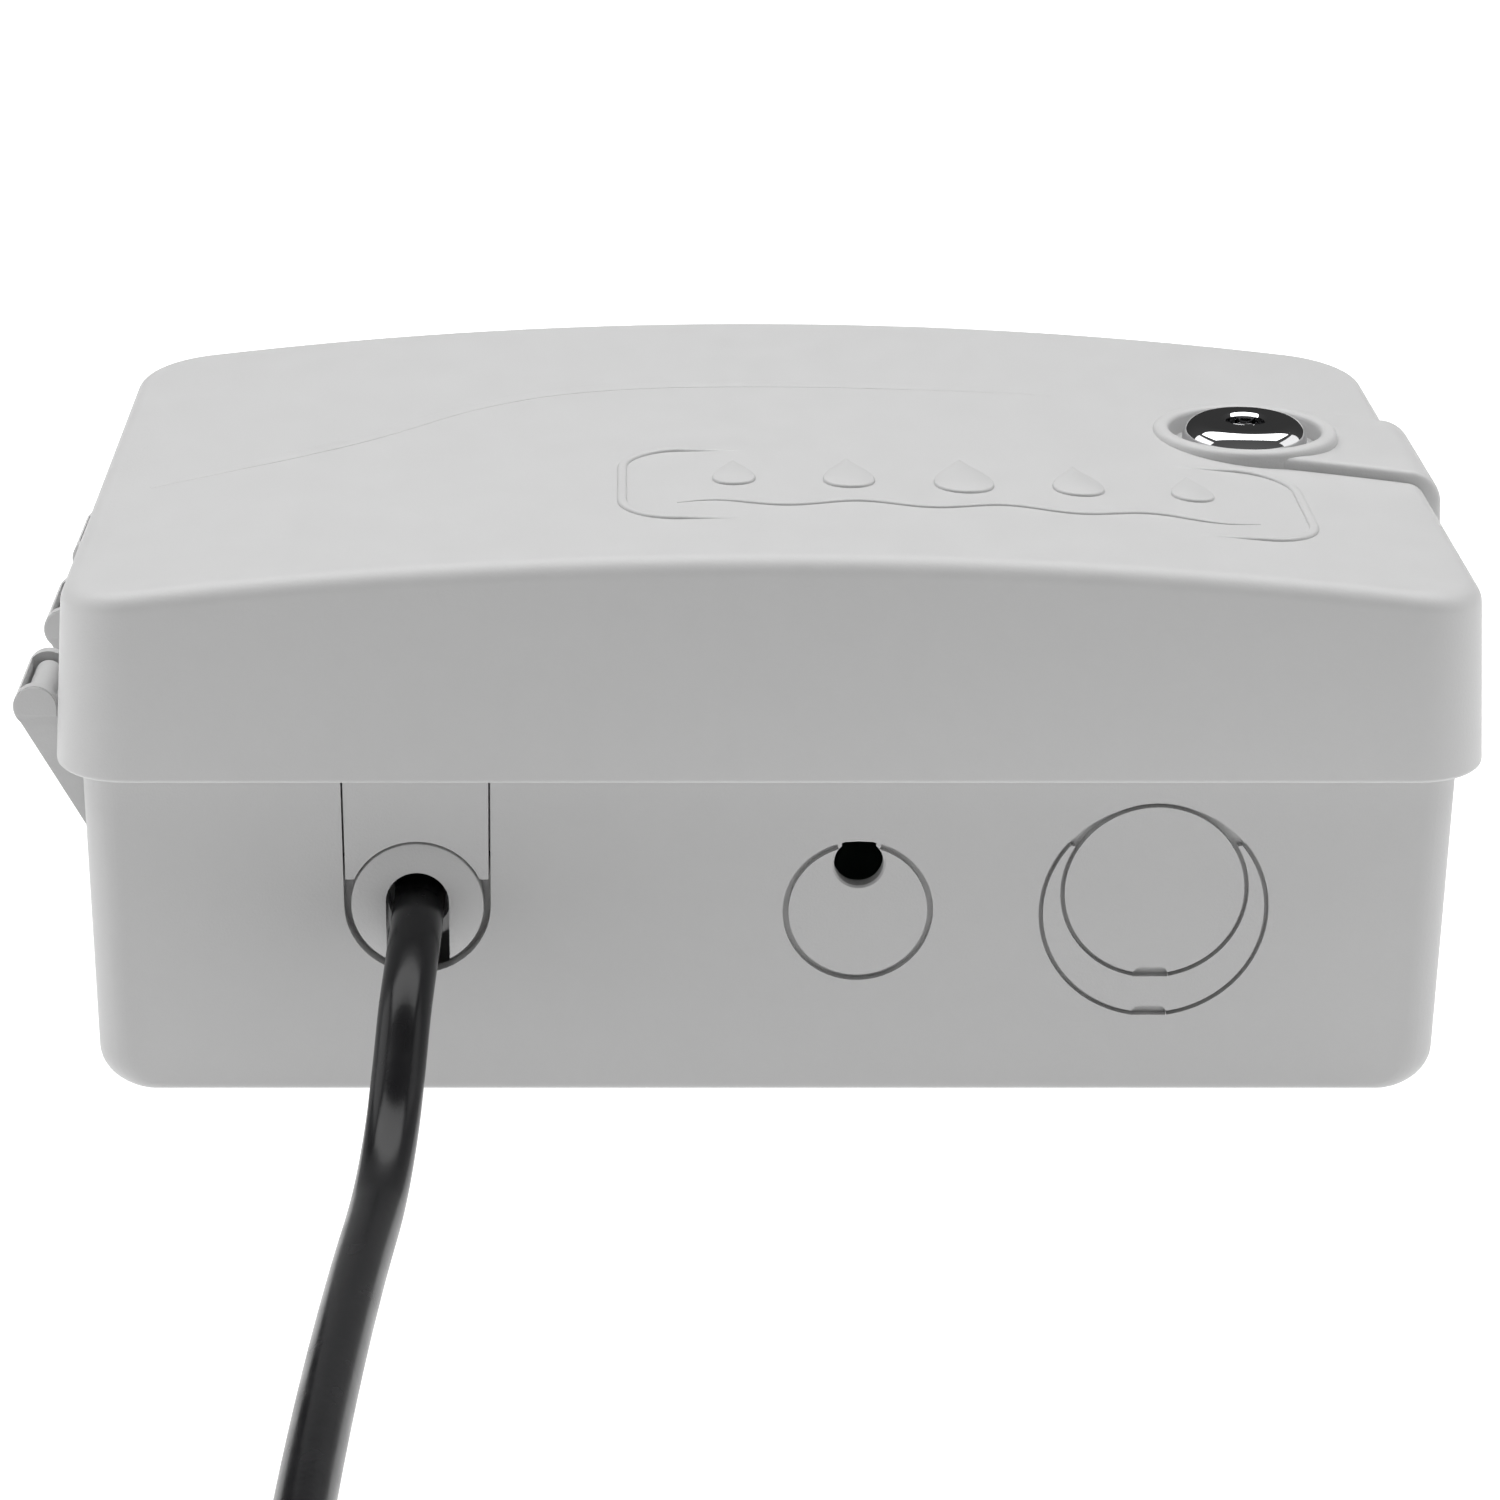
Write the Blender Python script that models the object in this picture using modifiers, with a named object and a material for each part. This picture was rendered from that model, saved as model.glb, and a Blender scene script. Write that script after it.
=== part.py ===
"""Outdoor irrigation controller: a lockable two-shell case, lying on its back, with its works inside.

The case is modelled from its own datum: X = 0 in the middle of its width, Y = 0 on the outer face of
the conduit wall and Z = 0 on its back. An empty at CASE_DATUM carries all of it, so that the world's
origin is below the middle of the object. Sizes are in millimetres and every helper turns them into metres.
"""

import math

import bmesh
import bpy
from mathutils import Vector

MM = 0.001

# Base shell
BASE_HALF_AT_BACK = 104.4
BASE_HALF_AT_LEDGE = 105.0
BASE_DEPTH = 125.4
LEDGE_Z = 52.0
WALL = 2.5
BASE_SIDE_ROUND = 7.0
BASE_EDGE_ROUND = 1.0
BASE_CORNER_ROUND = 6.0
COLLAR_HALF = 103.2
COLLAR_INSET = 1.6
COLLAR_THICK = 2.2
COLLAR_TOP = 60.0

# Lid
LID_RIM_Z = 53.0
LID_HALF_AT_RIM = 109.0
LID_DRAFT = 1.3 / 27.9
LID_NEAR_Y = -4.8
LID_FAR_Y = 130.0
LID_CROWN_Z = 88.2
LID_ARCH_RADIUS = 794.0
LID_RISE_TO_FAR_END = 1.7
LID_CORNER_ROUND = 12.0
LID_EDGE_ROUND = 3.0
LID_WALL = 2.3
SEAL_RIB_Z = 63.3

# Hinge along the left side
HINGE_X = -112.55
HINGE_Z = 59.2
HINGE_NOSE_X = -116.2
HINGE_CHEEK_RADIUS = 3.45
HINGE_CHEEK = 1.8
HINGE_BRACKETS = ((12.0, 30.2), (48.7, 66.9), (86.0, 104.2))
HINGE_PIN_RADIUS = 1.0
HINGE_BARREL_RADIUS = 2.2
HINGE_GUSSET_FOOT_Z = 36.9
HINGE_PIN_NAMES = ("hinge_pin_near", "hinge_pin_middle", "hinge_pin_far")

# Lock, level on the arched lid
LOCK_X = 79.9
LOCK_Y = 69.5
LOCK_RING_RADIUS = 15.0
LOCK_RING_HEIGHT = 2.2
LOCK_RECESS_RADIUS = 12.4
LOCK_RECESS_DEPTH = 1.5
LOCK_DOME_RADIUS = 10.2
LOCK_BARREL_RADIUS = 8.0
LOCK_KEYWAY_RADIUS = 3.75
LOCK_PLUG_RADIUS = 3.4
LOCK_PAD_HEIGHT = 2.0
LOCK_PAD_SIDE = 2.7
LOCK_PAD_NEAR_Y = 55.0
LOCK_PAD_FAR_Y = 84.2
CAM_REACH = 17.5
CAM_TOP = -19.2
CAM_THICK = 1.8
STRIKE_SCREWS_Y = (LOCK_Y - 5.5, LOCK_Y + 5.5)
STRIKE_SCREW_Z = 54.0
STRIKE_LIP_Z = 67.6

# Conduit wall: the cord's entry and the knock-outs
GLAND_X = -53.9
GLAND_Z = 31.2
BUSHING_RADIUS = 10.2
SLOT_RADIUS = 11.25
SLOT_TOP_HALF = 11.45
ARCH_RADIUS = 4.85
ARCH_Z = 31.75
KNOCKOUTS = ((13.7, 30.3, 11.1), (59.1, 30.3, 17.3), (59.1, 33.6, 14.1))
KNOCKOUT_GROOVE = 0.7
KNOCKOUT_GROOVE_DEPTH = 1.0
SENSOR_HOLE = (13.7, 38.2, 3.8)

# Control panel and what hangs from it
PANEL_TOP = 60.0
PANEL_THICK = 2.5
PANEL_BOX = ((-98.5, 40.0), (98.5, 119.5))
PANEL_POSTS = ((-93.5, 46.0), (-93.5, 113.5), (93.5, 46.0), (93.5, 113.5))
BOARD_TOP = 47.6
BOARD_THICK = 1.6
BOARD_BOX = ((-88.0, 22.0), (88.0, 118.0))
BOARD_POSTS = ((-82.0, 48.0), (-82.0, 113.0), (82.0, 48.0), (82.0, 113.0))
SCREEN_CENTRE = (-38.0, 95.0)
SCREEN_SIZE = (76.0, 34.0)
DIAL_CENTRE = (36.0, 86.0)
DIAL_RADIUS = 20.0
BUTTON_ROW_Y = 60.0
BUTTON_NAMES = ("button_back", "button_next", "button_minus", "button_plus", "button_manual")
BUTTON_FIRST_X = -76.0
BUTTON_PITCH = 19.0
BUTTON_TRAVEL = 1.2
SLIDER_CENTRE = (36.0, 50.0)
SLIDER_TRAVEL = 5.0
CELL_CENTRE = (68.0, 100.0)
TERMINAL_COUNT = 10
TERMINAL_PITCH = 8.0
TERMINAL_FIRST_X = 4.0
TERMINAL_Y = 31.0

# Transformer on the back of the case
TRANSFORMER_X = -62.0
TRANSFORMER_Y = 72.0

# Mains cord: the stretch that is not coiled, the coil and the plug
CORD_RADIUS = 4.0
CORD_ROUTE = (
    (-53.9, 1.6, 29.5),
    (-53.9, -1.5, 29.5),
    (-54.0, -7.0, 28.8),
    (-54.4, -14.0, 26.5),
    (-55.0, -20.5, 22.6),
    (-55.6, -26.5, 16.8),
    (-56.3, -32.6, 10.9),
    (-57.0, -39.1, 7.1),
    (-57.7, -46.1, 4.8),
    (-58.3, -53.1, 4.1),
    (-59.5, -68.0, 4.05),
    (-60.8, -88.0, 4.05),
    (-61.9, -110.0, 4.05),
    (-62.7, -133.0, 4.05),
    (-63.0, -156.0, 4.05),
    (-63.0, -178.0, 4.05),
    (-63.0, -185.6, 4.05),
)
COIL_CENTRE = (-9.5, -216.0)
COIL_INNER_RADIUS = 33.3
COIL_OUTER_RADIUS = 57.7
COIL_HEIGHT = 16.3
PLUG_START = (22.5, -269.5, 12.4)

SCREW_SHANK_RADIUS = 1.1
GAP = 0.3
CORNER_STEPS = 4
ROUND_STEPS = 28

# The middle of the box around the case, hinge noses and lock pad, seen from above
OUTER_RIGHT_X = LID_HALF_AT_RIM + LOCK_PAD_SIDE
CASE_DATUM = (-(HINGE_NOSE_X + OUTER_RIGHT_X) / 2, -(LID_NEAR_Y + LID_FAR_Y) / 2, 0.0)

PIVOTS = {}


# ---------------------------------------------------------------- scene, materials and placing


def clear_scene():
    for obj in list(bpy.data.objects):
        bpy.data.objects.remove(obj, do_unlink=True)


def make_collection(name):
    collection = bpy.data.collections.new(name)
    bpy.context.scene.collection.children.link(collection)
    return collection


def make_material(name, colour, roughness, metallic=0.0):
    material = bpy.data.materials.new(name)
    material.use_nodes = True
    shader = material.node_tree.nodes["Principled BSDF"]
    shader.inputs["Base Color"].default_value = (*colour, 1.0)
    shader.inputs["Roughness"].default_value = roughness
    shader.inputs["Metallic"].default_value = metallic
    material.diffuse_color = (*colour, 1.0)
    return material


def metres(point):
    return Vector(point) * MM


def make_pivot(name, at, parent=None):
    """An empty on a joint's axis. PIVOTS keeps it with its place in the case's coordinates."""
    empty = bpy.data.objects.new(name, None)
    PARTS.objects.link(empty)
    empty.empty_display_size = 10 * MM
    if parent:
        empty.parent = PIVOTS[parent][0]
        empty.location = metres(at) - metres(PIVOTS[parent][1])
    else:
        empty.location = metres(CASE_DATUM)
    PIVOTS[name] = (empty, at if parent else (0.0, 0.0, 0.0))


def place(name, mesh, material, at=(0, 0, 0), pivot="case", turn=(0, 0, 0), helper=False):
    """Links a mesh as an object under a pivot. `at` is in case coordinates, or in the lock's own ones."""
    obj = bpy.data.objects.new(name, mesh)
    (CUTTERS if helper else PARTS).objects.link(obj)
    empty, origin = PIVOTS[pivot]
    obj.parent = empty
    in_lock_frame = pivot in ("lock_frame", "lock_axis")
    obj.location = metres(at) if in_lock_frame else metres(at) - metres(origin)
    obj.rotation_euler = [math.radians(angle) for angle in turn]
    if material:
        mesh.materials.append(material)
    if helper:
        obj.hide_render = True
        obj.display_type = "WIRE"
    return obj


def combine(target, other, operation):
    modifier = target.modifiers.new(other.name, "BOOLEAN")
    modifier.operation = operation
    modifier.object = other


def cut(target, *cutters):
    for cutter in cutters:
        combine(target, cutter, "DIFFERENCE")


def join(target, *pieces):
    for piece in pieces:
        combine(target, piece, "UNION")


# ---------------------------------------------------------------- meshes


def mesh_from(bm, name, smooth_angle=None):
    bmesh.ops.recalc_face_normals(bm, faces=bm.faces)
    mesh = bpy.data.meshes.new(name)
    bm.to_mesh(mesh)
    bm.free()
    if smooth_angle:
        mesh.shade_smooth()
        mesh.set_sharp_from_angle(angle=math.radians(smooth_angle))
    return mesh


def box_mesh(name, size, bevel=0.0, upright_only=False):
    """A box around the origin with its edges rounded by `bevel`, or only its upright ones."""
    bm = bmesh.new()
    box = bmesh.ops.create_cube(bm, size=1.0)["verts"]
    bmesh.ops.scale(bm, vec=metres(size), verts=box)
    if bevel:
        edges = list(bm.edges)
        if upright_only:
            height = 0.5 * size[2] * MM
            edges = [edge for edge in edges if abs((edge.verts[0].co - edge.verts[1].co).z) > height]
        bmesh.ops.bevel(bm, geom=edges, offset=bevel * MM, segments=2, profile=0.5, affect="EDGES")
    return mesh_from(bm, name)


def span_box(name, low, high, material, pivot="case", helper=False, bevel=0.0, upright_only=False):
    """A box given by its lowest and highest corners."""
    size = [b - a for a, b in zip(low, high)]
    middle = [(a + b) / 2 for a, b in zip(low, high)]
    return place(name, box_mesh(name, size, bevel, upright_only), material, middle, pivot, helper=helper)


def add_cylinder(bm, radius, depth, steps=ROUND_STEPS, top_radius=None):
    """An upright cylinder, or a cone, around the origin."""
    bmesh.ops.create_cone(
        bm,
        cap_ends=True,
        segments=steps,
        radius1=radius * MM,
        radius2=(radius if top_radius is None else top_radius) * MM,
        depth=depth * MM,
    )


def cylinder_mesh(name, radius, depth, steps=ROUND_STEPS, top_radius=None):
    bm = bmesh.new()
    add_cylinder(bm, radius, depth, steps, top_radius)
    return mesh_from(bm, name, 40)


def arc(centre, radius, start, end, steps):
    """Points on an arc, in degrees, from start to end."""
    angles = [math.radians(start + (end - start) * i / steps) for i in range(steps + 1)]
    return [(centre[0] + radius * math.cos(a), centre[1] + radius * math.sin(a)) for a in angles]


def rounded_rectangle(x0, x1, y0, y1, radius, steps=CORNER_STEPS):
    return (
        arc((x1 - radius, y1 - radius), radius, 0, 90, steps)
        + arc((x0 + radius, y1 - radius), radius, 90, 180, steps)
        + arc((x0 + radius, y0 + radius), radius, 180, 270, steps)
        + arc((x1 - radius, y0 + radius), radius, 270, 360, steps)
    )


def mesh_from_curve(curve, name, merge=0.00001):
    """The mesh of a curve, with its caps welded on."""
    guide = bpy.data.objects.new(name + "_curve", curve)
    bpy.context.scene.collection.objects.link(guide)
    bpy.context.view_layer.update()
    evaluated = guide.evaluated_get(bpy.context.evaluated_depsgraph_get())
    flat = bpy.data.meshes.new_from_object(evaluated)
    bpy.data.objects.remove(guide, do_unlink=True)
    bm = bmesh.new()
    bm.from_mesh(flat)
    bpy.data.meshes.remove(flat)
    bmesh.ops.remove_doubles(bm, verts=bm.verts, dist=merge)
    return mesh_from(bm, name, 40)


def outline_mesh(name, outlines, thickness):
    """A flat outline, with any holes inside it, in the XY plane and thickness in Z."""
    curve = bpy.data.curves.new(name, "CURVE")
    curve.dimensions = "2D"
    curve.fill_mode = "BOTH"
    curve.extrude = thickness * MM / 2
    for outline in outlines:
        spline = curve.splines.new("POLY")
        spline.points.add(len(outline) - 1)
        for point, (x, y) in zip(spline.points, outline):
            point.co = (x * MM, y * MM, 0.0, 1.0)
        spline.use_cyclic_u = True
    return mesh_from_curve(curve, name)


def slab(name, outlines, z0, z1, material, pivot="case", helper=False):
    """An outline in X and Y, from z0 to z1."""
    mesh = outline_mesh(name, outlines, z1 - z0)
    return place(name, mesh, material, (0, 0, (z0 + z1) / 2), pivot, helper=helper)


def upright_slab(name, outlines, y0, y1, material, pivot="case", helper=False):
    """An outline in X and Z, from y0 to y1."""
    mesh = outline_mesh(name, outlines, y1 - y0)
    return place(name, mesh, material, (0, (y0 + y1) / 2, 0), pivot, turn=(90, 0, 0), helper=helper)


def tube_mesh(name, points, radius, sides=3):
    """A tube through points that are already close together, with flat ends."""
    curve = bpy.data.curves.new(name, "CURVE")
    curve.dimensions = "3D"
    curve.bevel_depth = radius * MM
    curve.bevel_resolution = sides
    curve.use_fill_caps = True
    spline = curve.splines.new("POLY")
    spline.points.add(len(points) - 1)
    for point, place_at in zip(spline.points, points):
        point.co = (*metres(place_at), 1.0)
    return mesh_from_curve(curve, name)


def smooth_route(points, per_span):
    """Points read from a Catmull-Rom curve through the route's own points."""
    ends = [Vector(points[0]) * 2 - Vector(points[1])]
    ends += [Vector(point) for point in points]
    ends += [Vector(points[-1]) * 2 - Vector(points[-2])]
    route = []
    for a, b, c, d in zip(ends, ends[1:], ends[2:], ends[3:]):
        for step in range(per_span):
            t = step / per_span
            linear = (c - a) * t
            square = (a * 2 - b * 5 + c * 4 - d) * t * t
            cube = (b * 3 - a - c * 3 + d) * t * t * t
            route.append((b * 2 + linear + square + cube) / 2)
    route.append(Vector(points[-1]))
    return route


def turned(name, profile, material, at=(0, 0, 0), pivot="case", turn=(0, 0, 0), helper=False, steps=None):
    """A profile of (radius, height) points turned about Z. It runs down the outer side, top to bottom."""
    bm = bmesh.new()
    verts = [bm.verts.new((radius * MM, 0.0, height * MM)) for radius, height in profile]
    for a, b in zip(verts, verts[1:]):
        bm.edges.new((a, b))
    if profile[0][0] > 0:
        bm.edges.new((verts[-1], verts[0]))
    mesh = bpy.data.meshes.new(name)
    bm.to_mesh(mesh)
    bm.free()
    obj = place(name, mesh, material, at, pivot, turn, helper)
    screw = obj.modifiers.new("turn", "SCREW")
    screw.axis = "Z"
    screw.steps = steps or ROUND_STEPS
    screw.render_steps = screw.steps
    screw.use_merge_vertices = True
    screw.merge_threshold = 0.00001
    screw.use_smooth_shade = True
    return obj


def loft(bm, rings, close_end=True):
    """Faces between rings that have the same number of points, with a cap on the first one."""
    rows = [[bm.verts.new(metres(point)) for point in ring] for ring in rings]
    for lower, upper in zip(rows, rows[1:]):
        for i in range(len(lower)):
            j = (i + 1) % len(lower)
            bm.faces.new((lower[i], lower[j], upper[j], upper[i]))
    bm.faces.new(list(reversed(rows[0])))
    if close_end:
        bm.faces.new(rows[-1])
    return rows


def drill(target, name, radius, depth, at, turn=(0, 0, 0), pivot="case", steps=10):
    """Cuts a round hole, or a round-bottomed groove, centred on `at`."""
    cut(target, place(name, cylinder_mesh(name, radius, depth, steps), None, at, pivot, turn, helper=True))


def boss(target, name, radius, depth, at, steps=16):
    """Joins an upright round post on, centred on `at`."""
    join(target, place(name, cylinder_mesh(name, radius, depth, steps), None, at, helper=True))


# ---------------------------------------------------------------- base shell


def base_block_mesh(name, inset, z0, z1):
    """The base's solid form, lofted along Y: U-shaped sections that pull in at the two end walls."""
    corner = BASE_CORNER_ROUND - inset
    side_round = BASE_SIDE_ROUND - inset
    y_near = inset
    y_far = BASE_DEPTH - inset
    steps = [corner * (1 - math.cos(math.radians(90 * i / CORNER_STEPS))) for i in range(CORNER_STEPS + 1)]
    steps = sorted(steps + [BASE_EDGE_ROUND * 0.3, BASE_EDGE_ROUND])
    sections = [(y_near + t, t) for t in steps] + [(y_far - t, t) for t in reversed(steps)]
    slope = (BASE_HALF_AT_LEDGE - BASE_HALF_AT_BACK) / LEDGE_Z
    rings = []
    for y, t in sections:
        pull = corner - math.sqrt(max(0.0, corner**2 - (corner - t) ** 2))
        edge = max(0.0, BASE_EDGE_ROUND - t)
        lift = BASE_EDGE_ROUND - math.sqrt(BASE_EDGE_ROUND**2 - edge**2)
        low = z0 + lift
        half_low = BASE_HALF_AT_BACK - inset - pull
        half_high = half_low + slope * (z1 - low)
        right = arc((half_low - side_round, low + side_round), side_round, -90, 0, CORNER_STEPS)
        left = arc((-half_low + side_round, low + side_round), side_round, 180, 270, CORNER_STEPS)
        outline = right + [(half_high, z1), (-half_high, z1)] + left
        rings.append([(x, y, z) for x, z in outline])
    bm = bmesh.new()
    loft(bm, rings)
    return mesh_from(bm, name)


def hinge_bracket_outline():
    """Gusset, cheek and nose in X and Z."""
    centre = (HINGE_NOSE_X + HINGE_CHEEK_RADIUS, HINGE_Z)
    inner_x = centre[0] + HINGE_CHEEK_RADIUS
    wall_x = -BASE_HALF_AT_LEDGE + 1.0
    return (
        [(wall_x, HINGE_GUSSET_FOOT_Z), (wall_x, LEDGE_Z), (inner_x, LEDGE_Z)]
        + arc(centre, HINGE_CHEEK_RADIUS, 0, 205, 14)
    )


def add_hinge_brackets(base):
    for index, (y0, y1) in enumerate(HINGE_BRACKETS):
        bracket = upright_slab(f"hinge_bracket_{index}", [hinge_bracket_outline()], y0, y1, None, helper=True)
        join(base, bracket)
        room = HINGE_BARREL_RADIUS
        trough_low = (HINGE_X - room - 0.4, y0 + HINGE_CHEEK, HINGE_Z - room - 0.5)
        trough_high = (HINGE_X + 6.0, y1 - HINGE_CHEEK, HINGE_Z + 8.0)
        trough = span_box(f"hinge_trough_{index}", trough_low, trough_high, None, helper=True)
        blind = 0.5
        length = y1 - y0 - 2 * blind
        bore_at = (HINGE_X, (y0 + y1) / 2, HINGE_Z)
        cut(base, trough)
        drill(base, f"pin_bore_{index}", HINGE_PIN_RADIUS + GAP, length, bore_at, (90, 0, 0), steps=16)


def slot_outline(clearance=0.0):
    """The U-shaped slot for the cord's bushing, open at the top of the wall."""
    top = SLOT_TOP_HALF - clearance
    radius = SLOT_RADIUS - clearance
    bottom = arc((GLAND_X, GLAND_Z), radius, 180, 360, 14)
    return [(GLAND_X + top, COLLAR_TOP + 2), (GLAND_X - top, COLLAR_TOP + 2)] + bottom


def add_conduit_wall_features(base):
    cut(base, upright_slab("cord_slot", [slot_outline()], -1.0, 6.0, None, helper=True))
    channel_low = (GLAND_X - 14.1, WALL + 0.1, 38.0)
    channel_high = (GLAND_X + 14.2, 6.0, COLLAR_TOP + 2)
    cut(base, span_box("gate_channel", channel_low, channel_high, None, helper=True))
    for index, (x, z, radius) in enumerate(KNOCKOUTS):
        outer = radius + KNOCKOUT_GROOVE / 2
        inner = radius - KNOCKOUT_GROOVE / 2
        depth = KNOCKOUT_GROOVE_DEPTH
        profile = [(outer, 1.0), (outer, -depth), (inner, -depth), (inner, 1.0)]
        name = f"knockout_groove_{index}"
        cut(base, turned(name, profile, None, (x, 0, z), turn=(90, 0, 0), helper=True, steps=30))
    x, z, radius = SENSOR_HOLE
    drill(base, "sensor_hole", radius, 10.0, (x, 0, z), (90, 0, 0), steps=24)


def add_fixings_in_base(base):
    """Screw posts for the panel and the transformer, the anvil under the cord, and the strike's bores."""
    for index, (x, y) in enumerate(PANEL_POSTS):
        top = PANEL_TOP - PANEL_THICK - GAP
        boss(base, f"panel_post_{index}", 3.8, top - 2, (x, y, (top + 2) / 2))
        drill(base, f"panel_post_bore_{index}", 1.5, 20, (x, y, top - 7))
    for index, side in enumerate((-1, 1)):
        x = TRANSFORMER_X + side * 29.5
        boss(base, f"transformer_post_{index}", 4.0, 6.0, (x, TRANSFORMER_Y, 5.0))
        drill(base, f"transformer_bore_{index}", 1.5, 8.0, (x, TRANSFORMER_Y, 7.0))
    anvil_low = (GLAND_X - 13, 13.5, 2.0)
    anvil_high = (GLAND_X + 13, 21.5, 29.3)
    join(base, span_box("cord_anvil", anvil_low, anvil_high, None, helper=True))
    drill(base, "anvil_groove", CORD_RADIUS + GAP, 14, (GLAND_X, 17.5, 29.5), (90, 0, 0), steps=24)
    for index, side in enumerate((-1, 1)):
        drill(base, f"clamp_bore_{index}", 1.5, 16, (GLAND_X + side * 9, 17.5, 26.0))
    for index, y in enumerate(STRIKE_SCREWS_Y):
        bore_at = (COLLAR_HALF - COLLAR_THICK, y, STRIKE_SCREW_Z)
        drill(base, f"strike_bore_{index}", 1.4, 3.6, bore_at, (0, 90, 0))


def add_wall_mount_holes(base):
    keyhole = arc((0, 104), 4.6, 200, 340, 10) + arc((0, 112), 2.3, 0, 180, 8)
    cut(base, slab("hanging_keyhole", [keyhole], -1.0, 4.0, None, helper=True))
    for index, x in enumerate((-84.0, 84.0)):
        drill(base, f"wall_screw_hole_{index}", 2.3, 6.0, (x, 16.0, 1.5), steps=20)


def make_base():
    base = place("base_box", base_block_mesh("base_box", 0.0, 0.0, LEDGE_Z), SHELL)
    outer = rounded_rectangle(-COLLAR_HALF, COLLAR_HALF, COLLAR_INSET, BASE_DEPTH - COLLAR_INSET, 4.4)
    join(base, slab("collar", [outer], 45.0, COLLAR_TOP, None, helper=True))
    cut(base, place("base_cavity", base_block_mesh("base_cavity", WALL, WALL, 49.0), None, helper=True))
    inset = COLLAR_INSET + COLLAR_THICK
    half = COLLAR_HALF - COLLAR_THICK
    inner = rounded_rectangle(-half, half, inset, BASE_DEPTH - inset, 3.0)
    cut(base, slab("collar_mouth", [inner], 48.0, COLLAR_TOP + 2, None, helper=True))
    add_hinge_brackets(base)
    add_conduit_wall_features(base)
    add_fixings_in_base(base)
    add_wall_mount_holes(base)


def make_hinge_pins():
    for name, (y0, y1) in zip(HINGE_PIN_NAMES, HINGE_BRACKETS):
        mesh = cylinder_mesh(name, HINGE_PIN_RADIUS, y1 - y0 - 1.6, 16)
        place(name, mesh, STEEL, (HINGE_X, (y0 + y1) / 2, HINGE_Z), turn=(90, 0, 0))


# ---------------------------------------------------------------- lid


def lid_top(x, y):
    return LID_CROWN_Z - x * x / (2 * LID_ARCH_RADIUS) + LID_RISE_TO_FAR_END * y / BASE_DEPTH


def lid_half_outline(grow, inset, z, columns):
    """The near half of the lid's outline, from left to right, as (x, distance in from the near wall)."""
    half = LID_HALF_AT_RIM + grow - inset - LID_DRAFT * (z - LID_RIM_Z)
    radius = max(LID_CORNER_ROUND + grow - inset, 1.0)
    left = arc((-half + radius, radius), radius, 180, 270, CORNER_STEPS)
    right = arc((half - radius, radius), radius, 270, 360, CORNER_STEPS)
    span = half - radius
    middle = [(-span + 2 * span * i / columns, 0.0) for i in range(1, columns)]
    return left + middle + right


def lid_block_mesh(name, grow, floor_z, columns=12):
    """The lid's solid form, grown outwards by `grow`: walls with draft, an arched top and a rolled edge."""
    edge = max(LID_EDGE_ROUND + grow, 0.8)
    rolls = [math.radians(90 * i / 3) for i in range(4)]
    levels = [(None, 0.0)] + [(edge * (1 - math.sin(a)), edge * (1 - math.cos(a))) for a in rolls]
    middle_y = (LID_NEAR_Y + LID_FAR_Y) / 2
    rings = []
    for below_top, inset in levels:
        wall_z = floor_z if below_top is None else LID_CROWN_Z - LID_EDGE_ROUND
        pull = inset + LID_DRAFT * (wall_z - LID_RIM_Z)
        near_y = LID_NEAR_Y - grow + pull
        near = lid_half_outline(grow, inset, wall_z, columns)
        points = [(x, near_y + into) for x, into in near]
        points += [(x, 2 * middle_y - near_y - into) for x, into in reversed(near)]
        if below_top is None:
            rings.append([(x, y, floor_z) for x, y in points])
        else:
            rings.append([(x, y, lid_top(x, y) + grow - below_top) for x, y in points])
    bm = bmesh.new()
    rows = loft(bm, rings, close_end=False)
    top = rows[-1]
    count = len(top)
    for i in range(count // 2 - 1):
        bm.faces.new((top[i], top[i + 1], top[count - 2 - i], top[count - 1 - i]))
    return mesh_from(bm, name)


def lock_disc(name, radius, z0, z1, steps=ROUND_STEPS):
    """An upright disc in the lock's own frame, used to build or cut the lid."""
    mesh = cylinder_mesh(name, radius, z1 - z0, steps)
    return place(name, mesh, None, (0, 0, (z0 + z1) / 2), "lock_frame", helper=True)


def add_lock_seat(lid):
    pad_mesh = lid_block_mesh("pad_form", LOCK_PAD_SIDE, LID_RIM_Z)
    pad_at = (0, 0, LOCK_PAD_HEIGHT - LOCK_PAD_SIDE)
    pad = place("pad_form", pad_mesh, None, pad_at, "lid_hinge", helper=True)
    pad_low = (LOCK_X, LOCK_PAD_NEAR_Y, LID_RIM_Z + GAP)
    pad_high = (LID_HALF_AT_RIM + 6, LOCK_PAD_FAR_Y, 100)
    window = span_box("pad_window", pad_low, pad_high, None, "lid_hinge", helper=True)
    combine(pad, window, "INTERSECT")
    join(lid, pad, lock_disc("lock_ring", LOCK_RING_RADIUS, -2.6, LOCK_RING_HEIGHT))
    return lock_disc("lock_boss", 13.5, -5.0, -1.0)


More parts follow.
